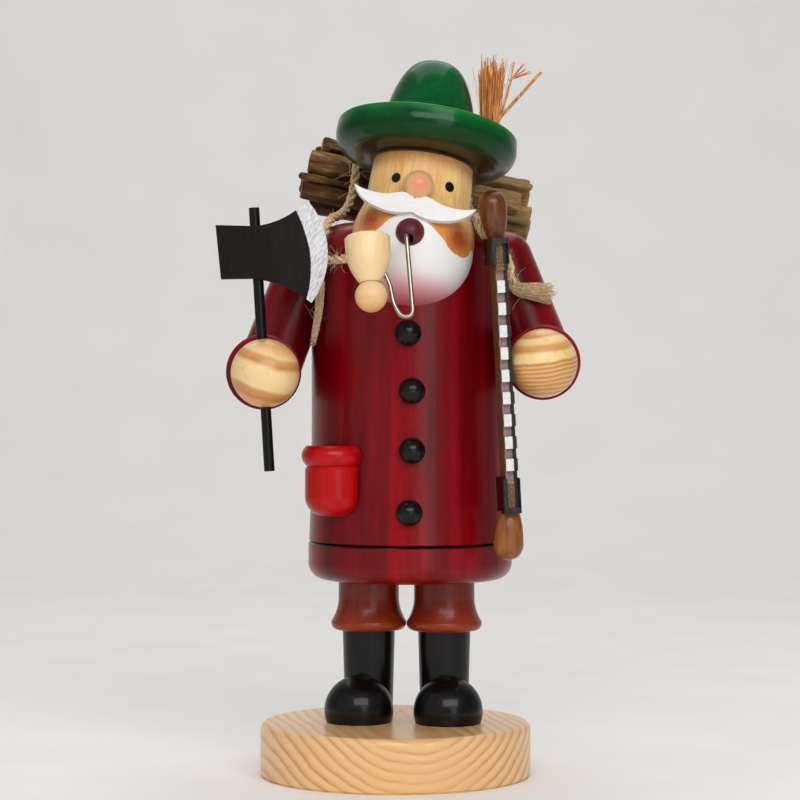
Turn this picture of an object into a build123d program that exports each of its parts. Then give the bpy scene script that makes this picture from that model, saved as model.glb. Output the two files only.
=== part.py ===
from build123d import *

import math
import os

# A turned wooden incense smoker: a woodcutter with a pipe, an axe, a saw and a bundle of sticks.
# Millimetres. +Z is up, the figure faces -Y, and the origin is the middle of the base's underside.
# Left and right are the viewer's, looking at the face.

os.makedirs("parts", exist_ok=True)

# Shared fits
overrun = 1.0  # how far a cutting shape runs past the face it cuts
pin_clearance = 0.05  # radial play of a small pin in its hole
spigot_clearance = 0.1  # radial play of the spigot in the upper coat

# Base disc
base_diameter = 73.4
base_thickness = 14.4
base_edge_radius = 1.8
base_foot_chamfer = 0.6

# Figure axis on the base
figure_x = 4.0
figure_y = 5.5

# Legs
legs_x = 3.0
legs_turn_deg = -6.0
leg_spacing = 20.8
boot_bottom_radius = 6.5
boot_top_radius = 7.2
boot_seat_depth = 1.2
toe_radius = 9.4
toe_centre_height = 3.2
toe_reach = 8.2
toe_splay_deg = 12.5
leg_dowel_radius = 2.5
leg_dowel_base_depth = 9.0
leg_dowel_coat_depth = 6.5

# Trouser legs
cuff_height = 38.9
cuff_radius = 10.2
cuff_lip_radius = 1.1
cuff_lip_height = 2.4
cuff_flare_height = 8.6
trouser_radius = 8.3
trouser_seat_depth = 2.0

# Lower coat with its spigot
hem_height = 52.9
hem_radius = 27.9
hem_corner_radius = 4.5
lower_coat_height = 10.2
seam_height = hem_height + lower_coat_height
seam_chamfer = 0.5
spigot_height = 12.0
spigot_lead = 1.0
air_hole_radius = 2.0
air_hole_reach = 15.3

# Ember tray and cone
tray_radius = 11.8
tray_recess_depth = 1.2
tray_thickness = 0.4
tray_rim_height = 2.4
tray_lip = 0.7
tack_reach = 8.8
tack_shank_radius = 0.5
tack_shank_length = 6.0
tack_head_radius = 1.3
tack_head_height = 0.6
tack_head_edge = 0.5
cone_radius = 6.0
cone_tip_radius = 1.3
cone_height = 24.0

# Upper coat
coat_radius = 27.0
coat_flare = 0.7
coat_flare_height = 32.0
coat_top_height = 150.0
coat_shoulder_radius = 9.0
chamber_radius = 19.0
chamber_roof = 27.0
chamber_top_height = coat_top_height - chamber_roof
smoke_channel_radius = 2.5
smoke_channel_start_y = -4.5

# Buttons
button_radius = 3.5
button_proud = 2.6
button_stem_radius = 1.0
button_stem_length = 4.0
button_rise_shares = (56.7 / 86.9, 41.4 / 86.9, 25.6 / 86.9, 9.2 / 86.9)
button_heights = [seam_height + (coat_top_height - seam_height) * share for share in button_rise_shares]
button_drifts = (-0.6, 0.4, 0.4, -0.3)

# Pocket
pocket_angle_deg = 46.7
pocket_rim_radius = 8.6
pocket_cup_radius = 7.7
pocket_rise = 26.7
pocket_top_height = seam_height + pocket_rise
pocket_rim_height = 5.4
pocket_groove = 0.5
pocket_depth = 18.8
pocket_corner_radius = 5.2
pocket_stand_off = 1.0

# Arms
arm_y = 4.0
elbow_left_x = -34.7
elbow_left_drop = 39.5
elbow_left_height = coat_top_height - elbow_left_drop
elbow_right_x = 39.95
elbow_right_drop = 36.9
elbow_right_height = coat_top_height - elbow_right_drop
arm_lean_deg = 21.0
arm_elbow_radius = 8.7
arm_shoulder_radius = 8.0
arm_length = 29.0
fore_length = 21.0
fore_droop_deg = 3.0
fore_left_turn_deg = -1.0
fore_right_turn_deg = 2.0
sleeve_cuff_radius = 10.1
sleeve_edge = 0.5
hand_radius = 9.1
hand_out = 3.7
hand_left_shift = 0.7
shoulder_dowel_radius = 2.5
shoulder_dowel_length = 13.0
shoulder_dowel_drop = 3.0

# Axe
axe_handle_radius = 1.4
axe_handle_length = 69.8
axe_handle_top = 43.8
axe_handle_side = -0.4
axe_lean_deg = 3.35
axe_head_rise = 31.8
axe_thickness = 4.6
axe_edge_thickness = 1.2
axe_bevel_start = 4.0
axe_poll_top = (-10.3, 7.9)
axe_poll_bottom = (-9.7, -6.4)
axe_waist_bottom = (-0.5, -6.8)
axe_hollow_bottom = (7.0, -9.5)
axe_bit_bottom = (13.7, -14.0)
axe_bit_front = (18.8, -1.5)
axe_bit_top = (14.2, 13.1)
axe_hollow_top = (7.0, 8.5)
axe_waist_top = (0.3, 7.0)

# Saw
saw_edge_y = -27.5
saw_thickness = 3.1
saw_width = 12.4
saw_lean_deg = 2.9
saw_turn_deg = 6.6
saw_pitch_deg = 1.5
tooth_pitch = 5.85
tooth_height = 3.2
tooth_depth = 1.8
tooth_count = 9
saw_length = 69.4
saw_middle_drop = 41.5
saw_middle_height = coat_top_height - saw_middle_drop
saw_back_sag = 1.2
saw_heel_radius = 3.0
clamp_top_length = 6.9
clamp_low_length = 9.2
clamp_depth = 12.0
clamp_front = -0.5
clamp_width = 4.8
clamp_shift = -0.45
clamp_edge = 0.5
clamp_beyond = 1.5
clamp_slot_depth = 1.3
saw_handle_length = 12.9
saw_handle_seat = 0.2
saw_handle_top_radius = 3.75
saw_handle_top_neck_radius = 2.2
saw_handle_low_radius = 4.0
saw_handle_low_neck_radius = 2.6
saw_handle_depth = 5.3
saw_handle_top_lean_deg = 3.6
saw_handle_low_lean_deg = 5.0
saw_hand_flat = 0.1

# Head, in its own frame: origin at the middle of its widest ring, +Z up its axis, the face to -Y
head_x = 4.65
head_y = -14.0
head_sink = 6.2
head_height = coat_top_height - head_sink
head_tilt_deg = -13.1
head_roll_deg = 7.5
head_radius = 16.4
head_chin_depth = 18.5
head_jowl_radius = 15.0
head_jowl_height = 7.3
head_neck_radius = 13.95
head_neck_height = 12.8
head_brow_radius = 13.4
head_bulge = 0.45
head_top = 21.5
head_hat_seat = 1.4
hat_dowel_radius = 2.5
hat_dowel_length = 12.0
hat_dowel_in_hat = 6.0

# Face
nose_radius = 4.0
nose_height = 11.4
nose_out = 2.6
moustache_half_length = 16.3
moustache_height = 6.1
moustache_thickness = 1.7
moustache_level = 5.2
moustache_shift = -0.7
moustache_roll_deg = 5.2
moustache_lean_deg = -7.0
moustache_seat = 0.25
nose_seat = 2.0
bead_radius = 3.85
bead_level = -1.5
bead_shift = -0.6
bead_out = 0.9
mouth_x = -0.6
mouth_hole_radius = 1.2
mouth_level = -4.0
mouth_hole_depth = 9.0

# Pipe
wire_radius = 0.5
wire_plane = -21.3
wire_pin_x = -1.2
wire_pin_end = 4.0
wire_bend_radius = 1.3
wire_foot_x = 2.75
wire_foot_level = -25.9
wire_foot_left_x = -1.3
wire_knee_x = -3.6
wire_knee_level = -17.2
wire_end_x = -6.6
wire_end_level = -13.2
wire_knee_radius = 3.0
wire_foot_radius = 2.0
bowl_rim_radius = 5.9
bowl_neck_radius = 2.75
bowl_length = 12.4
bowl_swell_share = 0.9
bowl_swell_level_share = 0.6
bowl_x = -11.3
bowl_level = -5.7
bowl_lean_deg = 11.5
bowl_recess_radius = 4.2
bowl_recess_floor_radius = 3.4
bowl_recess_depth = 3.2
bowl_rim_edge = 0.5
knob_radius = 4.2
knob_overlap = 0.6

# Hat, in the head's frame, measured from the head's top
brim_radius = 24.5
brim_flat_radius = 19.5
brim_turn_height = 7.2
brim_top_height = 9.9
brim_lip = 0.7
brim_valley_radius = 16.5
brim_valley_height = 7.2
crown_base_radius = 12.5
crown_height = 29.5
crown_side_share = 0.89
crown_shoulder_share = 0.56
crown_shoulder_drop_share = 0.19
hat_under_radius = 14.4
hat_under_step = 0.5

# Tuft of straw on the hat
tuft_x = 17.1
tuft_y = 2.0
tuft_plug_radius = 1.9
tuft_plug_length = 3.4
tuft_hole_depth = 2.2
straw_width = 0.6
straw_thickness = 0.3
straw_length = 27.2
straw_count = 64
straw_lean_deg = -4.8
straw_fan_deg = 4.8
straw_ragged_share = 0.2
straw_tip_share = 0.5
stem_lean_deg = 8.3
stem_foot_x = 0.2
stem_length = 21.2
fork_length = 6.2
fork_leans_deg = (2.0, 30.5, 45.5, 60.5)
stalk_length = 22.5
stalk_width = 1.15
stalk_foot_x = -1.45
stalk_foot_height = 5.2
stalk_lean_deg = 34.8
stalk_forward_deg = 4.0

# Bundle of sticks, measured from its middle
bundle_x = 6.0
bundle_y = 29.5
bundle_rise = 9.6
bundle_height = coat_top_height + bundle_rise
bundle_lean_deg = 11.5
bundle_radius = 11.6
stick_length = 63.0
stick_ring_radius = 7.7
ring_bend_radius = 9.3
ring_corner_count = 6
ring_start_deg = -105.0
ring_step_deg = 45.0

# Ropes
rope_radius = 1.35
rope_clearance = 0.3
rope_corner_radius = 2.6
rope_fray_radius = 2.3
rope_fray_length = 4.5
ring_left_x = -8.0
ring_right_x = 17.0
ring_drift = 0.5
# Each point's height in a strap's route is measured from the coat's top
strap_left_route = (
    (-12.0, 15.4, 7.0),
    (-15.5, 8.0, 2.0),
    (-17.3, -2.0, 1.8),
    (-20.1, -10.0, -4.6),
    (-20.1, -10.0, -16.0),
    (-21.3, -8.8, -31.5),
)
strap_right_route = (
    (20.6, 15.0, 3.5),
    (20.8, 6.5, 2.0),
    (21.3, -8.7, 1.8),
    (22.9, -16.1, -4.6),
    (24.8, -14.2, -11.0),
    (27.5, -11.1, -14.0),
    (31.5, -6.6, -17.4),
    (37.2, -5.9, -18.4),
)
tail_drop = 10.5
tail_height = coat_top_height - tail_drop
tail_start_deg = 50.5
tail_end_deg = 36.0


def turned(outline):
    """The solid that a closed outline sweeps round Z; the outline's x is the radius, its y the height."""
    return revolve(make_face(Plane.XZ * outline), axis=Axis.Z)


def rod(start, end, radius, end_radius=None):
    """A round bar, or a tapered one, between two points."""
    start = Vector(start)
    end = Vector(end)
    along = Plane(origin=start, z_dir=end - start)
    length = (end - start).length
    if end_radius is None:
        return along * extrude(Circle(radius), length)
    return loft([along * Circle(radius), along.offset(length) * Circle(end_radius)], ruled=True)


def save(name, solid):
    """One STEP file for each node."""
    solid.label = name
    export_step(solid, os.path.join("parts", name + ".step"))


# Places
legs = Location((legs_x, figure_y, 0), (0, 0, legs_turn_deg))
figure = Location((figure_x, figure_y, 0))
head_place = Location((head_x, head_y, head_height), (head_tilt_deg, head_roll_deg, 0))
spigot_radius = chamber_radius - spigot_clearance
spigot_top = seam_height + spigot_height
tray_floor = spigot_top - tray_recess_depth + tray_thickness
leg_offsets = {"left": -leg_spacing / 2, "right": leg_spacing / 2}


def make_base_disc():
    disc = Cylinder(base_diameter / 2, base_thickness, align=(Align.CENTER, Align.CENTER, Align.MIN))
    disc = fillet(disc.edges().sort_by(Axis.Z)[-1], base_edge_radius)
    disc = chamfer(disc.edges().sort_by(Axis.Z)[0], base_foot_chamfer)
    for offset in leg_offsets.values():
        hole_bottom = base_thickness - leg_dowel_base_depth
        hole = rod((offset, 0, hole_bottom), (offset, 0, base_thickness + overrun), leg_dowel_radius)
        disc -= legs * hole
    return disc


def boot_shaft_shape(offset):
    """The whole taper of one boot shaft, without its dowel hole."""
    bottom = (offset, 0, base_thickness)
    top = (offset, 0, cuff_height + boot_seat_depth)
    return legs * rod(bottom, top, boot_bottom_radius, boot_top_radius)


def leg_dowel_shape(offset):
    bottom = (offset, 0, base_thickness - leg_dowel_base_depth)
    top = (offset, 0, hem_height + leg_dowel_coat_depth)
    return legs * rod(bottom, top, leg_dowel_radius)


def make_boot_toe(side):
    """A ball cut flat where it stands and hollowed where it meets the boot shaft."""
    offset = leg_offsets[side]
    splay = -toe_splay_deg if side == "left" else toe_splay_deg
    reach = Location((offset, 0, 0), (0, 0, splay)) * Location((0, -toe_reach, 0))
    centre_height = base_thickness + toe_centre_height
    ball = legs * reach * Location((0, 0, centre_height)) * Sphere(toe_radius)
    floor = Location((0, 0, base_thickness)) * Box(
        base_diameter, base_diameter, toe_radius * 2, align=(Align.CENTER, Align.CENTER, Align.MAX)
    )
    return ball - floor - boot_shaft_shape(offset)


def trouser_outline():
    flare_top = cuff_height + cuff_flare_height
    lip_top = cuff_height + cuff_lip_height
    top = hem_height + trouser_seat_depth
    lip_inner = cuff_radius - cuff_lip_radius
    waist_radius = (trouser_radius + cuff_radius) / 2 - (cuff_radius - trouser_radius) / 4
    waist_height = (flare_top + lip_top) / 2
    return Curve() + [
        Line((0, cuff_height), (lip_inner, cuff_height)),
        ThreePointArc(
            (lip_inner, cuff_height),
            (cuff_radius - cuff_lip_radius / 4, cuff_height + cuff_lip_height / 4),
            (cuff_radius, lip_top),
        ),
        ThreePointArc((cuff_radius, lip_top), (waist_radius, waist_height), (trouser_radius, flare_top)),
        Line((trouser_radius, flare_top), (trouser_radius, top)),
        Line((trouser_radius, top), (0, top)),
        Line((0, top), (0, cuff_height)),
    ]


def trouser_shape(offset):
    return legs * Location((offset, 0, 0)) * turned(trouser_outline())


def make_trouser_leg(side):
    offset = leg_offsets[side]
    return trouser_shape(offset) - boot_shaft_shape(offset) - leg_dowel_shape(offset)


def make_lower_coat():
    """The hem ring and the spigot above it, turned as one piece."""
    outline = Polyline(
        (0, hem_height),
        (hem_radius, hem_height),
        (hem_radius, seam_height),
        (spigot_radius, seam_height),
        (spigot_radius, spigot_top),
        (0, spigot_top),
        close=True,
    )
    ring = turned(outline)
    corner = ring.edges().filter_by(GeomType.CIRCLE).sort_by(Axis.Z)[0]
    ring = fillet(corner, hem_corner_radius)
    rims = ring.edges().filter_by(GeomType.CIRCLE)
    outer = [edge for edge in rims if abs(edge.radius - hem_radius) < seam_chamfer]
    ring = chamfer(ShapeList(outer).sort_by(Axis.Z)[-1], seam_chamfer)
    ring = chamfer(ring.edges().filter_by(GeomType.CIRCLE).sort_by(Axis.Z)[-1], spigot_lead)
    recess_floor = spigot_top - tray_recess_depth
    ring -= rod((0, 0, recess_floor), (0, 0, spigot_top + overrun), tray_radius + pin_clearance)
    for side in (-1, 1):
        air = side * air_hole_reach
        ring -= rod((0, air, hem_height - overrun), (0, air, spigot_top + overrun), air_hole_radius)
        tack = side * tack_reach
        shank_bottom = tray_floor - tack_shank_length
        ring -= rod((tack, 0, shank_bottom), (tack, 0, spigot_top), tack_shank_radius)
    ring = figure * ring
    for offset in leg_offsets.values():
        ring -= trouser_shape(offset)
        ring -= leg_dowel_shape(offset)
    return ring


def make_ember_tray():
    """A pressed dish of thin sheet with a rolled rim."""
    floor = tray_floor - tray_thickness
    rim_top = floor + tray_rim_height
    outline = Polyline(
        (0, floor),
        (tray_radius, floor),
        (tray_radius, rim_top - tray_thickness),
        (tray_radius + tray_lip, rim_top - tray_thickness),
        (tray_radius + tray_lip, rim_top),
        (tray_radius - tray_thickness, rim_top),
        (tray_radius - tray_thickness, tray_floor),
        (0, tray_floor),
        close=True,
    )
    dish = turned(outline)
    for side in (-1, 1):
        tack = side * tack_reach
        dish -= rod((tack, 0, floor - overrun), (tack, 0, tray_floor + overrun), tack_shank_radius)
    return figure * dish


def make_tray_tack(side):
    """A small round-headed tack through the tray's floor."""
    reach = side * tack_reach
    shank = rod((reach, 0, tray_floor - tack_shank_length), (reach, 0, tray_floor), tack_shank_radius)
    cap = rod((reach, 0, tray_floor), (reach, 0, tray_floor + tack_head_height), tack_head_radius)
    cap = fillet(cap.edges().sort_by(Axis.Z)[-1], tack_head_edge)
    return figure * (shank + cap)


def make_incense_cone():
    return figure * rod((0, 0, tray_floor), (0, 0, tray_floor + cone_height), cone_radius, cone_tip_radius)


def coat_surface_radius(height):
    """The coat's outer radius at a height below its shoulders."""
    rise = min(max((height - seam_height) / coat_flare_height, 0), 1)
    return coat_radius + coat_flare * (1 - rise) ** 2


def coat_envelope():
    """The upper coat as turned, before anything is bored or seated in it."""
    shoulder = coat_top_height - coat_shoulder_radius
    flare_top = seam_height + coat_flare_height
    foot = coat_radius + coat_flare
    middle = seam_height + coat_flare_height / 2
    rim = coat_radius - coat_shoulder_radius
    turn = coat_shoulder_radius * math.cos(math.pi / 4)
    return turned(
        Curve() + [
            Line((0, seam_height), (foot - seam_chamfer, seam_height)),
            Line((foot - seam_chamfer, seam_height), (foot, seam_height + seam_chamfer)),
            ThreePointArc(
                (foot, seam_height + seam_chamfer),
                (coat_surface_radius(middle), middle),
                (coat_radius, flare_top),
            ),
            Line((coat_radius, flare_top), (coat_radius, shoulder)),
            ThreePointArc((coat_radius, shoulder), (rim + turn, shoulder + turn), (rim, coat_top_height)),
            Line((rim, coat_top_height), (0, coat_top_height)),
            Line((0, coat_top_height), (0, seam_height)),
        ]
    )


def head_outline():
    """A round chin, swelling cheeks, a slight waist and a nearly straight brow."""
    top = head_top + head_hat_seat
    chin = head_chin_depth - head_radius
    turn = head_radius * math.cos(math.pi / 4)
    cheek = (head_radius + head_jowl_radius) / 2 + head_bulge
    waist = (head_jowl_radius + head_neck_radius) / 2 - head_bulge / 2
    return Curve() + [
        ThreePointArc((0, -head_chin_depth), (turn, -chin - turn), (head_radius, -chin)),
        Line((head_radius, -chin), (head_radius, 0)),
        ThreePointArc((head_radius, 0), (cheek, head_jowl_height / 2), (head_jowl_radius, head_jowl_height)),
        ThreePointArc(
            (head_jowl_radius, head_jowl_height),
            (waist, (head_jowl_height + head_neck_height) / 2),
            (head_neck_radius, head_neck_height),
        ),
        Line((head_neck_radius, head_neck_height), (head_brow_radius, top)),
        Line((head_brow_radius, top), (0, top)),
        Line((0, top), (0, -head_chin_depth)),
    ]


def head_envelope():
    return turned(head_outline())


mouth_front = -head_radius - bead_radius
mouth_back = mouth_hole_depth - head_radius


def mouth_hole():
    return rod((mouth_x, mouth_front, mouth_level), (mouth_x, mouth_back, mouth_level), mouth_hole_radius)


def smoke_channel():
    """The slanted bore from the chamber's ceiling to the back of the mouth hole."""
    meeting = head_place * Location((mouth_x, mouth_back - mouth_hole_radius, mouth_level))
    start = Vector(figure_x, smoke_channel_start_y, chamber_top_height - overrun)
    return rod(start, meeting.position, smoke_channel_radius)


def make_coat_body():
    coat = figure * coat_envelope()
    bore = figure * rod((0, 0, seam_height - overrun), (0, 0, chamber_top_height), chamber_radius)
    coat -= bore
    coat -= head_place * head_envelope()
    coat -= smoke_channel()
    for height, drift in zip(button_heights, button_drifts):
        coat -= button_stem(height, drift)
    for side in ("left", "right"):
        coat -= shoulder_dowel_shape(side)
    return coat


def button_place(height, drift):
    surface = coat_surface_radius(height)
    return Location((figure_x + drift, figure_y - surface, height), (90, 0, 0))


def button_stem(height, drift):
    stem = rod((0, 0, -button_stem_length), (0, 0, button_proud), button_stem_radius)
    return button_place(height, drift) * stem


def make_button(height, drift):
    """A turned bead, its back lying on the coat, with a stem glued into the coat."""
    coat = figure * coat_envelope()
    centre = Location((0, 0, button_proud - button_radius / 2))
    bead = button_place(height, drift) * centre * Sphere(button_radius)
    return bead - coat + (button_stem(height, drift) & coat)


def make_pocket():
    """A turned cup with a rolled rim, its back hollowed to the coat."""
    bottom = pocket_top_height - pocket_depth
    rim_low = pocket_top_height - pocket_rim_height
    rim_in = pocket_rim_radius - pocket_rim_height / 4
    wall = pocket_cup_radius
    knee = bottom + pocket_corner_radius
    flat = wall - pocket_corner_radius
    turn = pocket_corner_radius * math.cos(math.pi / 4)
    outline = Curve() + [
        Line((0, pocket_top_height), (rim_in, pocket_top_height)),
        ThreePointArc(
            (rim_in, pocket_top_height),
            (pocket_rim_radius, pocket_top_height - pocket_rim_height / 2),
            (rim_in, rim_low),
        ),
        Line((rim_in, rim_low), (wall - pocket_groove, rim_low)),
        Line((wall - pocket_groove, rim_low), (wall, rim_low - pocket_groove * 2)),
        Line((wall, rim_low - pocket_groove * 2), (wall, knee)),
        ThreePointArc((wall, knee), (flat + turn, knee - turn), (flat, bottom)),
        Line((flat, bottom), (0, bottom)),
        Line((0, bottom), (0, pocket_top_height)),
    ]
    reach = coat_surface_radius((pocket_top_height + bottom) / 2) + pocket_stand_off
    place = figure * Location((0, 0, 0), (0, 0, -90 - pocket_angle_deg)) * Location((reach, 0, 0))
    return place * turned(outline) - figure * coat_envelope()


def elbow(side):
    if side == "left":
        return Vector(elbow_left_x, arm_y, elbow_left_height)
    return Vector(elbow_right_x, arm_y, elbow_right_height)


def upper_arm_direction(side):
    inward = 1 if side == "left" else -1
    lean = math.radians(arm_lean_deg)
    return Vector(inward * math.sin(lean), 0, math.cos(lean))


def fore_arm_direction(side):
    turn = fore_left_turn_deg if side == "left" else -fore_right_turn_deg
    turn = math.radians(turn)
    droop = math.radians(fore_droop_deg)
    return Vector(math.sin(turn), -math.cos(turn) * math.cos(droop), -math.sin(droop))


def mitre_plane(side):
    """The cut between upper and fore sleeve; its normal points to the upper sleeve's side."""
    return Plane(origin=elbow(side), z_dir=upper_arm_direction(side) - fore_arm_direction(side))


def cuff_centre(side):
    return elbow(side) + fore_arm_direction(side) * fore_length


def hand_centre(side):
    aside = Vector(hand_left_shift, 0, 0) if side == "left" else Vector(0, 0, 0)
    return cuff_centre(side) + fore_arm_direction(side) * hand_out + aside


def shoulder_dowel_shape(side):
    outward = -1 if side == "left" else 1
    axis_point = elbow(side) + upper_arm_direction(side) * (arm_length - shoulder_dowel_drop)
    inner = Vector(axis_point.X - outward * shoulder_dowel_length, arm_y, axis_point.Z)
    return rod(inner, axis_point, shoulder_dowel_radius)


def make_upper_sleeve(side):
    """A tapered turned bar with a domed shoulder, mitred at the elbow and hollowed to the coat."""
    start = elbow(side) - upper_arm_direction(side) * arm_elbow_radius * 2
    crown = elbow(side) + upper_arm_direction(side) * arm_length
    taper = (arm_elbow_radius - arm_shoulder_radius) / arm_length
    low_radius = arm_elbow_radius + taper * arm_elbow_radius * 2
    sleeve = rod(start, crown, low_radius, arm_shoulder_radius)
    sleeve += Location(crown) * Sphere(arm_shoulder_radius)
    sleeve = split(sleeve, bisect_by=mitre_plane(side), keep=Keep.TOP)
    sleeve -= figure * coat_envelope()
    return sleeve - shoulder_dowel_shape(side)


def make_fore_sleeve(side):
    """The forearm from the mitre to its wide cuff, which is hollowed for the hand ball."""
    start = elbow(side) - fore_arm_direction(side) * arm_elbow_radius * 2
    straight_end = elbow(side) + fore_arm_direction(side) * arm_elbow_radius
    sleeve = rod(start, straight_end, arm_elbow_radius)
    sleeve += rod(straight_end, cuff_centre(side), arm_elbow_radius, sleeve_cuff_radius)
    rim = sleeve.edges().filter_by(GeomType.CIRCLE).sort_by_distance(cuff_centre(side))[0]
    sleeve = fillet(rim, sleeve_edge)
    sleeve = split(sleeve, bisect_by=mitre_plane(side), keep=Keep.BOTTOM)
    sleeve -= figure * coat_envelope()
    sleeve -= Location(hand_centre(side)) * Sphere(hand_radius)
    if side == "left":
        return sleeve
    return sleeve - saw_place() * saw_plate()


axe_place = Location(hand_centre("left") + Vector(axe_handle_side, 0, 0), (0, -axe_lean_deg, 0))
axe_head_place = axe_place * Location((0, 0, axe_head_rise))


def axe_handle_shape():
    top = axe_handle_top
    return axe_place * rod((0, 0, top - axe_handle_length), (0, 0, top), axe_handle_radius)


def make_axe_head():
    """A sawn plate with hollow edges, bevelled on both faces to a curved bit."""
    outline = Curve() + [
        Line(axe_poll_top, axe_poll_bottom),
        Line(axe_poll_bottom, axe_waist_bottom),
        ThreePointArc(axe_waist_bottom, axe_hollow_bottom, axe_bit_bottom),
        ThreePointArc(axe_bit_bottom, axe_bit_front, axe_bit_top),
        ThreePointArc(axe_bit_top, axe_hollow_top, axe_waist_top),
        Line(axe_waist_top, axe_poll_top),
    ]
    plate = extrude(make_face(Plane.XZ * outline), axe_thickness / 2, both=True)
    back = axe_poll_top[0] - overrun
    edge = axe_bit_front[0]
    wedge = Polyline(
        (back, -axe_thickness / 2),
        (axe_bevel_start, -axe_thickness / 2),
        (edge, -axe_edge_thickness / 2),
        (edge, axe_edge_thickness / 2),
        (axe_bevel_start, axe_thickness / 2),
        (back, axe_thickness / 2),
        close=True,
    )
    plate &= extrude(make_face(wedge), axe_handle_top, both=True)
    return axe_head_place * plate - axe_handle_shape()


def saw_place():
    """The saw's frame: origin mid-blade on the tooth edge, +Z up the blade, +Y to its back."""
    hand = hand_centre("right")
    turn = math.radians(saw_turn_deg)
    face = hand.X - (hand_radius - saw_hand_flat) / math.cos(turn)
    sink = (hand.Y - saw_edge_y) * math.tan(turn)
    shift = (saw_middle_height - hand.Z) * math.tan(math.radians(saw_lean_deg))
    middle = Location((face - saw_thickness / 2 + sink - shift, saw_edge_y, saw_middle_height))
    pitch = Location((0, 0, 0), (saw_pitch_deg, 0, 0))
    return middle * pitch * Location((0, 0, 0), (0, -saw_lean_deg, saw_turn_deg))


def saw_plate():
    """The blade's whole plate: straight in front, a little hollow behind, with rounded heels."""
    half = saw_length / 2
    heel = half - saw_heel_radius
    turn = saw_heel_radius * math.cos(math.pi / 4)
    inner = saw_width - saw_heel_radius
    outline = Curve() + [
        Line((0, -half), (0, half)),
        Line((0, half), (inner, half)),
        ThreePointArc((inner, half), (inner + turn, heel + turn), (saw_width, heel)),
        ThreePointArc((saw_width, heel), (saw_width - saw_back_sag, 0), (saw_width, -heel)),
        ThreePointArc((saw_width, -heel), (inner + turn, -heel - turn), (inner, -half)),
        Line((inner, -half), (0, -half)),
    ]
    return extrude(make_face(Plane.YZ * outline), saw_thickness / 2, both=True)


def make_hand(side):
    """A turned ball; the left one is drilled for the axe handle, the right one flattened for the saw."""
    ball = Location(hand_centre(side)) * Sphere(hand_radius)
    if side == "left":
        return ball - axe_handle_shape()
    return ball - saw_place() * saw_plate()


def clamp_length(end):
    return clamp_top_length if end == "top" else clamp_low_length


def clamp_offset(end):
    """The middle of a clamp, up or down the blade."""
    sign = 1 if end == "top" else -1
    return sign * (saw_length / 2 + clamp_beyond - clamp_length(end) / 2)


def make_saw_blade():
    """The plate with its square teeth, and set back in front where the clamps grip it."""
    blade = saw_plate()
    notch = Box(saw_thickness * 2, tooth_depth * 2, tooth_pitch - tooth_height)
    for index in range(tooth_count + 1):
        middle = (index - tooth_count / 2) * tooth_pitch
        blade -= Location((0, 0, middle)) * notch
    for end in ("top", "bottom"):
        step = Box(saw_thickness * 2, clamp_slot_depth * 2, clamp_length(end))
        blade -= Location((0, 0, clamp_offset(end))) * step
    return saw_place() * blade


def clamp_block(end):
    block = Box(clamp_width, clamp_depth, clamp_length(end))
    block = fillet(block.edges().filter_by(Axis.Z), clamp_edge)
    return Location((clamp_shift, clamp_front + clamp_depth / 2, clamp_offset(end))) * block


def make_saw_clamp(end):
    """A block with rounded edges, slotted to grip the blade's end."""
    slot = Location((0, clamp_front - overrun, 0)) * Box(
        saw_thickness, clamp_depth * 2, saw_length, align=(Align.CENTER, Align.MIN, Align.CENTER)
    )
    return saw_place() * (clamp_block(end) - slot)


def pear(neck_radius, radius):
    """A turned grip that widens from its neck at the foot to a round end."""
    swell = saw_handle_length - radius
    widening = radius - neck_radius
    side_radius = (widening ** 2 + swell ** 2) / (widening * 2)
    half_way = radius - side_radius + math.sqrt(side_radius ** 2 - (swell / 2) ** 2)
    turn = radius * math.cos(math.pi / 4)
    outline = Curve() + [
        Line((0, 0), (neck_radius, 0)),
        ThreePointArc((neck_radius, 0), (half_way, swell / 2), (radius, swell)),
        ThreePointArc((radius, swell), (turn, swell + turn), (0, saw_handle_length)),
        Line((0, saw_handle_length), (0, 0)),
    ]
    return turned(outline)


def make_saw_handle(end):
    """A grip standing on the clamp's outer face."""
    seat = saw_length / 2 + clamp_beyond - saw_handle_seat
    if end == "top":
        place = Location((clamp_shift, saw_handle_depth, seat), (0, -saw_handle_top_lean_deg, 0))
        grip = pear(saw_handle_top_neck_radius, saw_handle_top_radius)
    else:
        place = Location((clamp_shift, saw_handle_depth, -seat), (180, -saw_handle_low_lean_deg, 0))
        grip = pear(saw_handle_low_neck_radius, saw_handle_low_radius)
    return saw_place() * (place * grip - clamp_block(end))


def make_head():
    head = head_place * head_envelope()
    pilot = rod(
        (wire_pin_x, mouth_back - overrun, mouth_level),
        (wire_pin_x, wire_pin_end + overrun / 2, mouth_level),
        wire_radius + pin_clearance,
    )
    dowel_bottom = head_top + head_hat_seat + hat_dowel_in_hat - hat_dowel_length
    dowel = rod((0, 0, dowel_bottom), (0, 0, head_top + head_hat_seat + overrun), hat_dowel_radius)
    head -= head_place * dowel
    head -= head_place * bead_shape()
    head -= head_place * nose_shape()
    head -= head_place * mouth_hole()
    head -= smoke_channel()
    return head - head_place * pilot


def make_hat_dowel():
    top = head_top + head_hat_seat + hat_dowel_in_hat
    return head_place * rod((0, 0, top - hat_dowel_length), (0, 0, top), hat_dowel_radius)


def face_front(level):
    """How far the head's skin lies in front of its axis at a level above the widest ring."""
    if level < 0:
        share = min(-level / head_chin_depth, 1)
        return head_radius * math.sqrt(1 - share ** 2)
    share = min(level / head_neck_height, 1)
    return head_radius + (head_neck_radius - head_radius) * share


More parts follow.
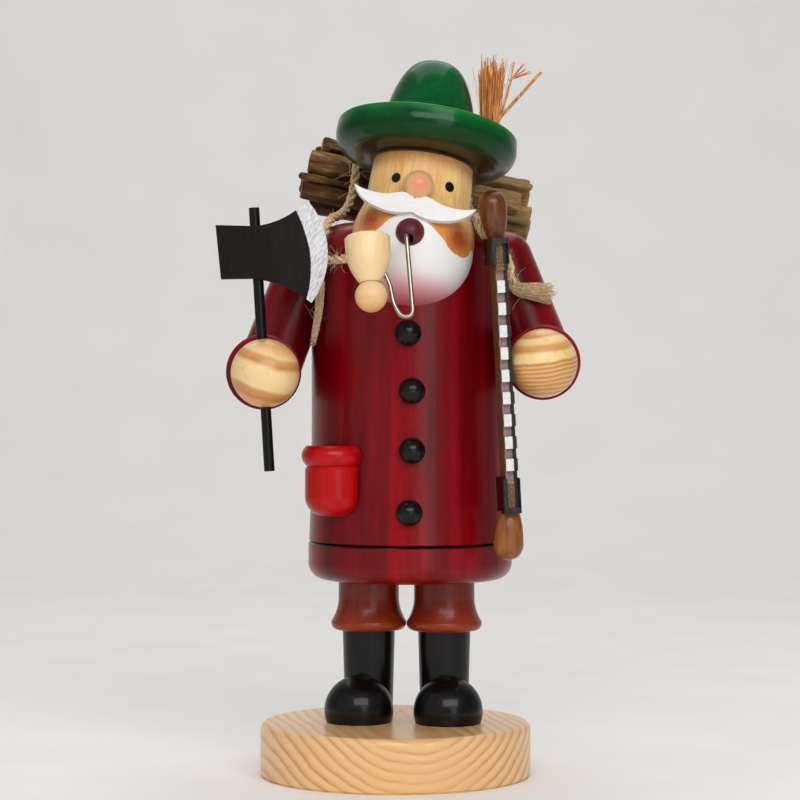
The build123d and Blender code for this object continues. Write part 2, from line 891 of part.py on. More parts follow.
def nose_shape():
    """The nose ball, cut flat at its glued seat."""
    front = face_front(nose_height)
    seat = Location((0, -front + nose_seat, nose_height))
    keep = Box(front, front, front, align=(Align.CENTER, Align.MAX, Align.CENTER))
    middle = Location((0, -front - nose_out + nose_radius / 4, nose_height))
    return middle * Sphere(nose_radius) & seat * keep


def moustache_place():
    front = face_front(moustache_level - moustache_height / 2) - moustache_seat
    return Location((moustache_shift, -front, moustache_level), (moustache_lean_deg, moustache_roll_deg, 0))


# The right half of the moustache's edges, as shares of its half length and of its height
moustache_upper_shares = ((0, 0.31), (0.2, 0.51), (0.42, 0.31), (0.61, 0.24), (0.81, 0.27))
moustache_lower_shares = (
    (0.89, 0.02),
    (0.77, -0.22),
    (0.57, -0.41),
    (0.35, -0.49),
    (0.14, -0.43),
    (0, -0.31),
)
moustache_tip_share = 0.42


def moustache_edge(shares, sign):
    return [(sign * x * moustache_half_length, z * moustache_height) for x, z in shares]


def moustache_plate():
    tip = moustache_tip_share * moustache_height
    upper_right = moustache_edge(moustache_upper_shares, 1)
    upper_left = moustache_edge(moustache_upper_shares[::-1], -1)
    lower_right = moustache_edge(moustache_lower_shares, 1)
    lower_left = moustache_edge(moustache_lower_shares[::-1], -1)
    right_tip = (moustache_half_length, tip)
    left_tip = (-moustache_half_length, tip)
    outline = Curve() + [
        Spline(left_tip, *upper_left),
        Spline(*upper_right, right_tip),
        Spline(right_tip, *lower_right),
        Spline(*lower_left, left_tip),
    ]
    return Plane.XZ * make_face(outline)


def make_moustache():
    """A thin sawn plate with swept tips, glued under the nose against the bulge of the cheeks."""
    plate = extrude(moustache_plate(), moustache_thickness)
    plate = moustache_place() * plate
    plate -= nose_shape()
    plate -= bead_shape()
    plate -= head_envelope()
    return head_place * plate


def make_nose():
    return head_place * nose_shape()


def bead_shape():
    """The mouth bead, seated a little way into the beard."""
    middle = (bead_shift, -face_front(bead_level) - bead_out + bead_radius / 2, bead_level)
    return Location(middle, (90, 0, 0)) * Sphere(bead_radius)


def make_mouth_bead():
    return head_place * (bead_shape() - mouth_hole())


def make_pipe_wire():
    """One bent wire: the pin in the head, down to the foot, and up again into the bowl."""
    route = [
        (wire_pin_x, wire_pin_end, mouth_level),
        (wire_pin_x, wire_plane, mouth_level),
        (wire_foot_x, wire_plane, wire_foot_level),
        (wire_foot_left_x, wire_plane, wire_foot_level),
        (wire_knee_x, wire_plane, wire_knee_level),
        (wire_end_x, wire_plane, wire_end_level),
    ]
    bends = [wire_bend_radius, wire_foot_radius, wire_foot_radius, wire_knee_radius]
    path = FilletPolyline(*route, radius=bends)
    start = Plane(origin=path @ 0, z_dir=path % 0)
    return head_place * sweep(start * Circle(wire_radius), path=path)


def bowl_place():
    return Location((bowl_x, wire_plane, bowl_level), (0, -bowl_lean_deg, 0))


def make_pipe_bowl():
    """A turned egg cup hanging below its rim, drilled for the wire, with a knob under its neck."""
    low = -bowl_length
    outline = Curve() + [
        Line((0, 0), (bowl_rim_radius - bowl_rim_edge, 0)),
        Line((bowl_rim_radius - bowl_rim_edge, 0), (bowl_rim_radius, -bowl_rim_edge)),
        Spline(
            (bowl_rim_radius, -bowl_rim_edge),
            (bowl_rim_radius * bowl_swell_share, low * bowl_swell_level_share),
            (bowl_neck_radius, low),
            tangents=[(0, -1), (bowl_neck_radius - bowl_rim_radius, low / 3)],
        ),
        Line((bowl_neck_radius, low), (0, low)),
        Line((0, low), (0, 0)),
    ]
    cup = turned(outline)
    cup -= rod((0, 0, -bowl_recess_depth), (0, 0, overrun), bowl_recess_floor_radius, bowl_recess_radius)
    return head_place * (bowl_place() * cup) - make_pipe_wire()


def make_pipe_knob():
    drop = bowl_length + knob_radius - knob_overlap
    ball = bowl_place() * (Location((0, 0, -drop)) * Sphere(knob_radius))
    cup_end = bowl_place() * rod((0, 0, -bowl_length), (0, 0, 0), bowl_neck_radius)
    return head_place * (ball - cup_end)


def make_hat():
    """Brim and crown turned as one: a deep turned-up brim, a valley and a tall round crown."""
    under = head_top + hat_under_step
    flat_end = head_top + hat_under_step * 2
    turn = head_top + brim_turn_height
    rim_top = head_top + brim_top_height
    valley = head_top + brim_valley_height
    crown_top = head_top + crown_height
    crown_side = valley + (crown_top - valley) / 2
    outline = Curve() + [
        Line((0, head_top), (hat_under_radius, head_top)),
        Line((hat_under_radius, head_top), (hat_under_radius, under)),
        Line((hat_under_radius, under), (brim_flat_radius, flat_end)),
        ThreePointArc(
            (brim_flat_radius, flat_end),
            (
                brim_flat_radius + (brim_radius - brim_flat_radius) * math.sin(math.pi / 4),
                turn - (turn - flat_end) * math.cos(math.pi / 4),
            ),
            (brim_radius, turn),
        ),
        Line((brim_radius, turn), (brim_radius - brim_lip / 4, rim_top - brim_lip)),
        ThreePointArc(
            (brim_radius - brim_lip / 4, rim_top - brim_lip),
            (brim_radius - brim_lip / 2, rim_top - brim_lip / 4),
            (brim_radius - brim_lip, rim_top),
        ),
        Spline(
            (brim_radius - brim_lip, rim_top),
            ((brim_radius + brim_valley_radius) / 2, (rim_top + valley) / 2),
            (brim_valley_radius, valley),
            (crown_base_radius, valley + hat_under_step * 2),
            tangents=[(-1, 0), (-1, 1)],
        ),
        Spline(
            (crown_base_radius, valley + hat_under_step * 2),
            (crown_base_radius * crown_side_share, crown_side),
            (
                crown_base_radius * crown_shoulder_share,
                crown_top - crown_base_radius * crown_shoulder_drop_share,
            ),
            (0, crown_top),
            tangents=[(0, 1), (-1, 0)],
        ),
        Line((0, crown_top), (0, head_top)),
    ]
    hat = head_place * turned(outline)
    hat -= head_place * head_envelope()
    hat -= make_hat_dowel()
    return hat - tuft_hole()


def tuft_place():
    return head_place * Location((tuft_x, tuft_y, head_top + brim_valley_height))


def tuft_hole():
    return tuft_place() * rod((0, 0, -tuft_hole_depth), (0, 0, tuft_plug_length), tuft_plug_radius)


def straw(bottom, top, width, thickness, turn_deg):
    """One flat straw, four-sided, narrowing to its tip."""
    foot = Plane(origin=bottom, z_dir=top - bottom)
    turn = Location((0, 0, 0), (0, 0, turn_deg))
    length = (top - bottom).length
    wide = foot * turn * Rectangle(width, thickness)
    narrow = foot.offset(length) * turn * Rectangle(width * straw_tip_share, thickness)
    return loft([wide, narrow], ruled=True)


def straw_way(lean_x_deg, lean_y_deg):
    lean_x = math.tan(math.radians(lean_x_deg))
    lean_y = math.tan(math.radians(lean_y_deg))
    return Vector(lean_x, lean_y, 1).normalized()


def make_hat_tuft():
    """A plug of upright straws, with a forked stem and one long stalk leaning out of it."""
    plug = rod((0, 0, -tuft_hole_depth), (0, 0, tuft_plug_length - tuft_hole_depth), tuft_plug_radius)
    straws = []
    golden = math.pi * (3 - math.sqrt(5))
    for index in range(straw_count):
        share = math.sqrt((index + 1 / 2) / straw_count)
        angle = index * golden
        spot = (tuft_plug_radius - straw_width / 2) * share
        foot = Vector(spot * math.cos(angle), spot * math.sin(angle), 0)
        lean_x = straw_lean_deg + straw_fan_deg * share * math.cos(angle)
        lean_y = straw_fan_deg * share * math.sin(angle)
        length = straw_length * (1 - straw_ragged_share * abs(math.sin(index)))
        tip = foot + straw_way(lean_x, lean_y) * length
        straws.append(straw(foot, tip, straw_width, straw_thickness, math.degrees(angle)))
    foot = Vector(stem_foot_x, stalk_width - tuft_plug_radius, 0)
    fork = foot + straw_way(stem_lean_deg, 0) * stem_length
    straws.append(straw(foot, fork, stalk_width, straw_width, 0))
    for lean in fork_leans_deg:
        way = straw_way(lean, straw_fan_deg)
        tip = fork + way * fork_length
        straws.append(straw(fork - way * straw_width, tip, straw_width, straw_thickness, 0))
    foot = Vector(stalk_foot_x, stalk_width - tuft_plug_radius, stalk_foot_height)
    tip = foot + straw_way(stalk_lean_deg, -stalk_forward_deg) * stalk_length
    straws.append(straw(foot, tip, stalk_width, stalk_width, 0))
    return tuft_place() * plug.fuse(*straws)


bundle_place = Location((bundle_x, bundle_y, bundle_height), (0, bundle_lean_deg, 0))

# Each stick: its ring (0 middle, 1 large, 2 twigs outside), its angle, its radius as a share of the
# bundle's radius, and its left and right ends as shares of the stick length
stick_shares = (
    (0, 0, 0.31, -0.48, 0.52),
    (1, 20, 0.35, -0.50, 0.46),
    (1, 80, 0.31, -0.46, 0.49),
    (1, 140, 0.35, -0.49, 0.50),
    (1, 200, 0.31, -0.53, 0.53),
    (1, 260, 0.35, -0.47, 0.44),
    (1, 320, 0.31, -0.51, 0.52),
    (2, 50, 0.115, -0.42, 0.50),
    (2, 170, 0.115, -0.45, 0.48),
    (2, 290, 0.115, -0.49, 0.47),
    (2, 350, 0.115, -0.53, 0.51),
)
twig_ring_share = 1.36
stick_corner_shares = (1.0, 0.86, 0.97, 0.84, 0.93, 0.88, 0.99)
stick_thin_share = 0.9


def make_stick(shares, index):
    """A barked branch: an uneven many-sided bar, thinner at one end."""
    ring, angle_deg, radius, left, right = shares
    reach = stick_ring_radius * (0, 1, twig_ring_share)[ring]
    angle = math.radians(angle_deg)
    count = len(stick_corner_shares)
    corners = []
    for corner in range(count):
        turn = 2 * math.pi * corner / count + index
        corner_reach = bundle_radius * radius * stick_corner_shares[(corner + index) % count]
        corners.append((corner_reach * math.cos(turn), corner_reach * math.sin(turn)))
    origin = (left * stick_length, -reach * math.cos(angle), reach * math.sin(angle))
    start = Plane(origin=origin, x_dir=(0, 1, 0), z_dir=(1, 0, 0))
    length = (right - left) * stick_length
    section = make_face(Polyline(*corners, close=True))
    thin = scale(section, stick_thin_share)
    stick = bundle_place * loft([start * section, start.offset(length) * thin], ruled=True)
    return stick - figure * coat_envelope()


def strap_points(route):
    """A strap's points in the part's frame, from a route measured from the coat's top."""
    return [(x, y, coat_top_height + rise) for x, y, rise in route]


def ring_route(side_x, drift):
    """A rope's turn round the bundle, from where it comes out under it, up behind and over the top."""
    radius = bundle_radius + rope_radius + rope_clearance
    corner_radius = radius / math.cos(math.radians(ring_step_deg / 2))
    points = []
    for index in range(ring_corner_count):
        angle = math.radians(ring_start_deg - ring_step_deg * index)
        x = side_x + drift * index
        y = bundle_y - corner_radius * math.cos(angle)
        middle = bundle_height - (x - bundle_x) * math.tan(math.radians(bundle_lean_deg))
        points.append((x, y, middle + corner_radius * math.sin(angle)))
    return points


def make_strap(side):
    """One rope: round the bundle, over the shoulder and down the chest to its frayed end."""
    if side == "left":
        turn = ring_route(ring_left_x, -ring_drift)
        free = strap_points(strap_left_route)
    else:
        turn = ring_route(ring_right_x, ring_drift)
        free = strap_points(strap_right_route)
    radii = [ring_bend_radius] * (len(turn) - 1) + [rope_corner_radius] * (len(free) - 1)
    path = FilletPolyline(*turn, *free, radius=radii)
    start = Plane(origin=path @ 0, z_dir=path % 0)
    rope = sweep(start * Circle(rope_radius), path=path)
    if side == "left":
        return rope
    end = path @ 1
    way = path % 1
    fray = rod(end - way * overrun, end + way * rope_fray_length, rope_radius, rope_fray_radius)
    return rope + fray


def make_strap_tail():
    """The left rope's other end, lying round the chest behind the pipe bowl."""
    reach = coat_radius + rope_radius + rope_clearance
    first = math.radians(270 - tail_start_deg)
    last = math.radians(270 - tail_end_deg)
    middle = (first + last) / 2
    path = ThreePointArc(
        (reach * math.cos(first), reach * math.sin(first)),
        (reach * math.cos(middle), reach * math.sin(middle)),
        (reach * math.cos(last), reach * math.sin(last)),
    )
    path = figure * Location((0, 0, tail_height)) * path
    start = Plane(origin=path @ 0, z_dir=path % 0)
    return sweep(start * Circle(rope_radius), path=path)


base = make_base_disc()
save("base_disc", base)
for side in ("left", "right"):
    save("boot_toe_" + side, make_boot_toe(side))
    save("boot_shaft_" + side, boot_shaft_shape(leg_offsets[side]) - leg_dowel_shape(leg_offsets[side]))
    save("trouser_leg_" + side, make_trouser_leg(side))
    save("leg_dowel_" + side, leg_dowel_shape(leg_offsets[side]))
save("lower_coat", make_lower_coat())
save("ember_tray", make_ember_tray())
save("tray_tack_left", make_tray_tack(-1))
save("tray_tack_right", make_tray_tack(1))
save("incense_cone", make_incense_cone())
save("coat_body", make_coat_body())
for index, (height, drift) in enumerate(zip(button_heights, button_drifts)):
    save("button_" + str(index + 1), make_button(height, drift))
save("pocket", make_pocket())
for side in ("left", "right"):
    save("upper_sleeve_" + side, make_upper_sleeve(side))
    save("fore_sleeve_" + side, make_fore_sleeve(side))
    save("hand_" + side, make_hand(side))
    save("shoulder_dowel_" + side, shoulder_dowel_shape(side))
save("axe_handle", axe_handle_shape())
save("axe_head", make_axe_head())
save("saw_blade", make_saw_blade())
for end in ("top", "bottom"):
    save("saw_clamp_" + end, make_saw_clamp(end))
    save("saw_handle_" + end, make_saw_handle(end))
save("head", make_head())
save("nose", make_nose())
save("moustache", make_moustache())
save("mouth_bead", make_mouth_bead())
save("pipe_wire", make_pipe_wire())
save("pipe_bowl", make_pipe_bowl())
save("pipe_knob", make_pipe_knob())
save("hat", make_hat())
save("hat_dowel", make_hat_dowel())
save("hat_tuft", make_hat_tuft())
for index, shares in enumerate(stick_shares):
    save("stick_" + str(index + 1).zfill(2), make_stick(shares, index))
save("strap_left", make_strap("left"))
save("strap_right", make_strap("right"))
save("strap_tail_left", make_strap_tail())
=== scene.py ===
import bpy
import random

from math import cos, pi, radians, sin, sqrt, tan
from mathutils import Matrix, Vector, noise


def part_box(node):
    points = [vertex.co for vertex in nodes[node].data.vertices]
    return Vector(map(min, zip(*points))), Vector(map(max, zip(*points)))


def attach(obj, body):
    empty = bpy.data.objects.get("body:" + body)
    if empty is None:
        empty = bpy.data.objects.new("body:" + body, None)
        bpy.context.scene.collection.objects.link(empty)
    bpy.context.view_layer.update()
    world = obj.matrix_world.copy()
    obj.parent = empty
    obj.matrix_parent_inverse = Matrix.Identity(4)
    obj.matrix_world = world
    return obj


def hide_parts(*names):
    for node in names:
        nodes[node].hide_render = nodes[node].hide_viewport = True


# The looks of a turned wooden incense smoker: a woodcutter with pipe, axe, saw and a stick bundle.
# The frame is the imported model's: +Z up, the figure faces -Y. Lengths are in millimetres, and MM turns
# them into metres.
MM = 0.001

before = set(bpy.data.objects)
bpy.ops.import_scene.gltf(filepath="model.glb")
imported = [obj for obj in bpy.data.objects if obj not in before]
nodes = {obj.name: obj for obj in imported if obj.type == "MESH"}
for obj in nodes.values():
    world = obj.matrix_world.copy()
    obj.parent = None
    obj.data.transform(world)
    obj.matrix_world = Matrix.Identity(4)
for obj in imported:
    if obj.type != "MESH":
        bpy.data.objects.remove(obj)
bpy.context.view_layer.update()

# Camera, as it stood for the photograph
image_size = 800
focal_pixels = 2640
sensor_width = 36
camera_place = (1.23, -719, 110)
axis_row = 370
clip_end_metres = 20

# Backdrop and lamps, in metres; a lamp has a name, a place, a width, a height and a power
floor_half_width = 1.5
floor_front = -1.6
bend_start = 0.6
bend_radius = 0.35
bend_steps = 12
backdrop_height = 1.8
lamp_target = (0.004, 0, 0.1)
lamps = (
    ("key", (0.13, -0.84, 0.6), 0.9, 0.42, 5.9),
    ("strip", (0.33, -0.95, 0.13), 0.34, 0.5, 1.0),
    ("fill", (-0.95, -0.75, 0.6), 1.5, 1.5, 2.4),
    ("top", (0.0, 0.3, 0.95), 0.9, 0.9, 4.4),
)
world_strength = 0.22

# Places that the paint is measured from, as in the CAD model
figure_axis = (4.0, 5.5)
coat_radius = 27.0
head_middle = (4.65, -14.0, 143.8)
head_tilt_deg = -13.1
head_roll_deg = 7.5
head_top = 21.5
axe_lean_deg = 3.35
tuft_foot = (17.1, 2.0, 28.7)
bundle_middle = (6.0, 29.5, 159.6)
bundle_lean_deg = 11.5
bundle_radius = 11.6
seam_height = 63.1

# Saw's own frame: its origin mid-blade on the tooth edge
saw_middle = (29.44, -27.5, 108.5)
saw_pitch_deg = 1.5
saw_lean_deg = 2.9
saw_turn_deg = 6.6

# Ropes
rope_radius = 1.35
rope_clearance = 0.3
rope_strands = 3
rope_pitch = 9.0
rope_step = 0.6
yarns_in_strand = 7
yarn_reach_share = 0.3
yarn_radius_shares = (0.13, 0.21)
yarn_twist = 1.6
yarn_sides = 5
hair_radius = 0.055
hair_lengths = (2.5, 7.0)
hair_bends = 7
hair_sway = 0.35
hair_root_share = 0.8
fibre_count = 170
fibre_radius = 0.085
fibre_bend = 0.7
fibre_sway = 0.3
fibre_sides = 3
ring_left_x = -8.0
ring_right_x = 17.0
ring_drift = 0.5
ring_corner_count = 6
ring_start_deg = -105.0
ring_step_deg = 45.0
strap_left_route = (
    (-12.0, 15.4, 157.0),
    (-15.5, 8.0, 152.0),
    (-17.3, -2.0, 151.8),
    (-20.1, -10.0, 145.4),
    (-20.2, -9.4, 134.0),
    (-20.6, -8.6, 124.5),
    (-22.2, -7.4, 117.4),
)
strap_right_route = (
    (20.6, 15.0, 153.5),
    (20.8, 6.5, 152.0),
    (21.3, -8.7, 151.8),
    (22.9, -16.1, 146.4),
    (27.6, -11.0, 142.8),
    (30.9, -6.9, 139.4),
    (31.1, -6.3, 134.6),
    (32.6, -6.4, 131.6),
    (37.2, -5.9, 131.3),
    (42.4, -4.6, 130.5),
)
tail_height = 139.5
tail_start_deg = 50.5
tail_end_deg = 36.0
tail_steps = 4


def tint(red, green, blue):
    """A colour as seen on a screen, 0 to 255, as the shader's linear values."""
    def linear(value):
        value = value / 255
        return value / 12.92 if value <= 0.04045 else ((value + 0.055) / 1.055) ** 2.4
    return (linear(red), linear(green), linear(blue), 1)


class Shade:
    """One material's nodes, with a short call for each kind of node."""

    def __init__(self, name, roughness, coat=0.0, coat_roughness=0.1, shine=0.5):
        self.material = bpy.data.materials.new(name)
        self.material.use_nodes = True
        self.tree = self.material.node_tree
        self.tree.nodes.clear()
        self.shader = self.node("BsdfPrincipled")
        output = self.node("OutputMaterial")
        self.tree.links.new(self.shader.outputs["BSDF"], output.inputs["Surface"])
        self.shader.inputs["Roughness"].default_value = roughness
        self.shader.inputs["Specular IOR Level"].default_value = shine
        self.shader.inputs["Coat Weight"].default_value = coat
        self.shader.inputs["Coat Roughness"].default_value = coat_roughness
        self.place = self.node("TexCoord").outputs["Object"]

    def node(self, kind):
        return self.tree.nodes.new("ShaderNode" + kind)

    def feed(self, socket, value):
        if isinstance(value, bpy.types.NodeSocket):
            self.tree.links.new(value, socket)
        else:
            socket.default_value = value

    def shader_input(self, name, value):
        self.feed(self.shader.inputs[name], value)

    def calculate(self, operation, first, second=0.0):
        node = self.node("Math")
        node.operation = operation
        for socket, value in zip(node.inputs, (first, second)):
            self.feed(socket, value)
        return node.outputs[0]

    def plus(self, first, second):
        return self.calculate("ADD", first, second)

    def minus(self, first, second):
        return self.calculate("SUBTRACT", first, second)

    def times(self, first, second):
        return self.calculate("MULTIPLY", first, second)

    def over(self, first, second):
        return self.calculate("DIVIDE", first, second)

    def unsigned(self, value):
        return self.calculate("ABSOLUTE", value)

    def reach(self, first, second):
        """The distance that two sides at right angles span."""
        squares = self.plus(self.times(first, first), self.times(second, second))
        return self.calculate("SQRT", squares)

    def weigh(self, first, share, second):
        """A share of the first value and the rest of the second."""
        return self.plus(self.times(first, share), self.times(second, 1 - share))

    def mapped(self, middle=(0, 0, 0), rotation=(0, 0, 0), size=(1, 1, 1)):
        """The surface's place in a frame of its own, in millimetres over size."""
        node = self.node("Mapping")
        node.vector_type = "TEXTURE"
        self.feed(node.inputs["Vector"], self.place)
        node.inputs["Location"].default_value = [value * MM for value in middle]
        node.inputs["Rotation"].default_value = rotation
        node.inputs["Scale"].default_value = [value * MM for value in size]
        return node.outputs[0]

    def split(self, vector):
        node = self.node("SeparateXYZ")
        self.feed(node.inputs[0], vector)
        return node.outputs

    def join(self, x, y, z):
        node = self.node("CombineXYZ")
        for socket, value in zip(node.inputs, (x, y, z)):
            self.feed(socket, value)
        return node.outputs[0]

    def noise(self, vector, scale=1.0, detail=2.0, roughness=0.55, distortion=0.0):
        node = self.node("TexNoise")
        self.feed(node.inputs["Vector"], vector)
        node.inputs["Scale"].default_value = scale
        node.inputs["Detail"].default_value = detail
        node.inputs["Roughness"].default_value = roughness
        node.inputs["Distortion"].default_value = distortion
        return node.outputs["Fac"]

    def clouds(self, size, detail=2.0, roughness=0.55):
        """Noise whose patches have a size in millimetres."""
        return self.noise(self.mapped(size=size), 1.0, detail, roughness)

    def ramp(self, factor, stops):
        node = self.node("ValToRGB")
        while len(node.color_ramp.elements) < len(stops):
            node.color_ramp.elements.new(0.5)
        for element, (position, colour) in zip(node.color_ramp.elements, stops):
            element.position = position
            element.color = colour
        self.feed(node.inputs[0], factor)
        return node.outputs[0]

    def cover(self, colour):
        self.shader_input("Base Color", colour)

    def paint(self, factor, stops):
        """The surface's colour, from a ramp."""
        self.cover(self.ramp(factor, stops))

    def fade(self, value, low, high):
        """0 below low, 1 above high, and smooth between; low may be the larger one."""
        node = self.node("MapRange")
        node.interpolation_type = "SMOOTHSTEP"
        self.feed(node.inputs["Value"], value)
        self.feed(node.inputs["From Min"], low)
        self.feed(node.inputs["From Max"], high)
        return node.outputs[0]

    def mix(self, factor, first, second):
        node = self.node("Mix")
        node.data_type = "RGBA"
        self.feed(node.inputs[0], factor)
        self.feed(node.inputs[6], first)
        self.feed(node.inputs[7], second)
        return node.outputs[2]

    def curve(self, value, points):
        """A free curve through points whose places and values lie between 0 and 1."""
        node = self.node("FloatCurve")
        line = node.mapping.curves[0]
        for position, height in points[1:-1]:
            line.points.new(position, height)
        for point, (position, height) in zip(line.points, points):
            point.location = (position, height)
            point.handle_type = "AUTO_CLAMPED"
        node.mapping.update()
        self.feed(node.inputs["Value"], value)
        return node.outputs[0]

    def bump(self, height, strength, depth):
        """Relief whose depth is in millimetres."""
        node = self.node("Bump")
        node.inputs["Strength"].default_value = strength
        node.inputs["Distance"].default_value = depth * MM
        self.feed(node.inputs["Height"], height)
        self.shader_input("Normal", node.outputs[0])


# The grain changes slower along the wood than across it, by this share
fibre_squeeze = 0.06


def grain(shade, vector, along, scale):
    """Fine wood fibres along one axis ("X", "Y" or "Z"), 0 to 1."""
    sides = []
    for axis, side in zip("XYZ", shade.split(vector)):
        sides.append(shade.times(side, fibre_squeeze if axis == along else 1))
    return shade.noise(shade.join(*sides), scale=scale, detail=5.0, roughness=0.6, distortion=0.2)


def wood(name, pale, dark, roughness, coat, shine=0.5, scale=1.2):
    """Stained or clear wood with upright fibres."""
    shade = Shade(name, roughness, coat, coat_roughness=0.12, shine=shine)
    vector = shade.mapped()
    fibres = grain(shade, vector, "Z", scale)
    cloud = shade.noise(vector, scale=0.12)
    shade.paint(shade.weigh(fibres, 0.75, cloud), ((0.3, dark), (0.7, pale)))
    shade.bump(fibres, strength=0.35, depth=0.03)
    return shade


def turn_about(axis, degrees):
    return Matrix.Rotation(radians(degrees), 3, axis)


def head_rotation():
    return (turn_about("X", head_tilt_deg) @ turn_about("Y", head_roll_deg)).to_euler("XYZ")


def head_place():
    """The head's own frame, in millimetres."""
    return Matrix.Translation(Vector(head_middle)) @ head_rotation().to_matrix().to_4x4()


def axe_rotation():
    return turn_about("Y", -axe_lean_deg).to_euler("XYZ")


def saw_rotation():
    turn = turn_about("X", saw_pitch_deg) @ turn_about("Y", -saw_lean_deg) @ turn_about("Z", saw_turn_deg)
    return turn.to_euler("XYZ")


def bundle_rotation():
    return turn_about("Y", bundle_lean_deg).to_euler("XYZ")


def middle_of(node):
    """The middle of a node's box, in millimetres."""
    return [(low + high) / 2 / MM for low, high in zip(*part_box(node))]


# The lacquer over a stain shines less than clear lacquer
stain_lacquer_ior = 1.36

# Painted shade in the gap between the coats: half its height where it begins and where it is full, and
# how far inside the coat's radius it begins and is full
seam_half_heights = (0.5, 0.3)
seam_depths = (1.1, 0.6)


def seam_line(shade, x, y, z):
    """1 on the rims where the two coats meet, where shade is painted as a dark line."""
    height = shade.unsigned(shade.minus(z, seam_height))
    beside = shade.minus(x, figure_axis[0])
    behind = shade.minus(y, figure_axis[1])
    begin, full = [coat_radius - depth for depth in seam_depths]
    rim = shade.fade(shade.reach(beside, behind), begin, full)
    return shade.times(shade.fade(height, *seam_half_heights), rim)


def red_stain(name, dark, pale, light):
    """Wine-red gloss stain: upright grain under fine rings from turning."""
    shade = Shade(name, roughness=0.3, coat=0.42, coat_roughness=0.2, shine=0.12)
    shade.shader_input("Coat IOR", stain_lacquer_ior)
    vector = shade.mapped()
    fibres = grain(shade, vector, "Z", 1.7)
    broad = grain(shade, vector, "Z", 0.16)
    x, y, z = shade.split(vector)
    rings = shade.noise(shade.join(0, 0, z), scale=3.4, detail=4.0, roughness=0.7)
    share = shade.weigh(fibres, 0.25, broad)
    colour = shade.ramp(share, ((0.3, dark), (0.5, pale), (0.7, light)))
    colour = shade.mix(shade.times(shade.fade(rings, 0.52, 0.66), 0.25), colour, light)
    # Painted shade: the gap between the coats is darkened
    colour = shade.mix(seam_line(shade, x, y, z), colour, tint(16, 0, 2))
    shade.cover(colour)
    shade.shader_input("Roughness", shade.plus(0.2, shade.times(rings, 0.2)))
    shade.bump(shade.weigh(rings, 0.6, fibres), strength=0.5, depth=0.05)
    return shade


def coat_material():
    return red_stain("coat_red_stain", tint(68, 0, 4), tint(112, 0, 9), tint(150, 2, 15))


def pocket_material():
    return red_stain("pocket_red_stain", tint(140, 0, 4), tint(172, 2, 8), tint(192, 12, 16))


def black_material():
    """Black satin paint that lets a little of the grain through."""
    shade = Shade("black_satin_paint", roughness=0.34, coat=0.26, coat_roughness=0.1, shine=0.14)
    vector = shade.mapped()
    fibres = grain(shade, vector, "Z", 1.8)
    specks = shade.noise(vector, scale=2.4, detail=4.0, roughness=0.65)
    shade.paint(fibres, ((0.35, tint(4, 3, 3)), (0.7, tint(14, 11, 10))))
    shade.shader_input("Roughness", shade.plus(0.22, shade.times(specks, 0.3)))
    shade.bump(shade.plus(fibres, shade.times(specks, 1.5)), strength=0.35, depth=0.06)
    return shade


# Heights between which painted light brightens a trouser leg towards its hem
hem_light_heights = (47.0, 39.0)


def trouser_material():
    """Chestnut stain, with painted light brightening the flared hem."""
    shade = Shade("trouser_brown_stain", roughness=0.3, coat=0.14, coat_roughness=0.14, shine=0.25)
    vector = shade.mapped()
    fibres = grain(shade, vector, "Z", 1.3)
    cloud = shade.noise(vector, scale=0.16)
    x, y, z = shade.split(vector)
    share = shade.weigh(fibres, 0.55, cloud)
    colour = shade.ramp(share, ((0.3, tint(88, 18, 6)), (0.7, tint(140, 44, 14))))
    # Painted light on the flared hem
    painted_hem_light = shade.times(shade.fade(z, *hem_light_heights), 0.5)
    shade.cover(shade.mix(painted_hem_light, colour, tint(158, 60, 22)))
    rings = shade.noise(shade.join(0, 0, z), scale=3.0, detail=4.0, roughness=0.7)
    shade.bump(shade.plus(fibres, rings), strength=0.25, depth=0.04)
    return shade


# Base: its growth rings go round a pith above the disc, and fade out where they lie flat in the middle
pith_place = (-1.5, 0, 31)
ring_turn_deg = 12.0
ring_spacing = 2.5
ring_middle_reach = (26.0, 8.0)


def base_material():
    """Pale pine whose growth rings show as arcs that open upwards on the disc's edge."""
    shade = Shade("base_pine", roughness=0.36, coat=0.35, coat_roughness=0.22)
    vector = shade.mapped(pith_place, (0, 0, radians(ring_turn_deg)))
    x, y, z = shade.split(vector)
    sway = shade.clouds((16, 30, 16))
    fine = shade.clouds((3, 12, 3), detail=3.0)
    turns = shade.over(shade.reach(x, z), ring_spacing)
    turns = shade.plus(turns, shade.times(sway, 1.1))
    turns = shade.plus(turns, shade.times(fine, 0.16))
    ring = shade.calculate("FRACT", turns)
    pale = tint(242, 202, 146)
    honey = tint(232, 178, 118)
    dark = tint(210, 134, 70)
    stops = ((0.0, honey), (0.14, pale), (0.4, pale), (0.7, honey), (0.86, dark), (0.94, dark))
    colour = shade.ramp(ring, stops)
    faded = shade.clouds((7, 40, 7))
    middle = shade.fade(shade.unsigned(x), *ring_middle_reach)
    veil = shade.times(shade.plus(shade.fade(faded, 0.35, 0.65), middle), 0.38)
    colour = shade.mix(veil, colour, tint(234, 184, 124))
    pores = shade.clouds((0.5, 5, 0.5), detail=4.0, roughness=0.6)
    colour = shade.mix(shade.times(pores, 0.4), colour, tint(228, 180, 116))
    shade.cover(colour)
    shade.bump(shade.plus(pores, shade.times(ring, 0.4)), strength=0.25, depth=0.05)
    return shade


# Hand balls: half the height that a ball's bands are spread over, how the bands bow, waver and lean, and
# the right ball's fine lower lines, as shares of that height
hand_band_reach = 10.0
hand_band_bow = -0.012
hand_waver = 1.6
hand_lean_deg = {"left": 17, "right": -7}
fine_line_count = 9
fine_line_start = 0.05
fine_line_step = 0.055
fine_line_dark = 0.035


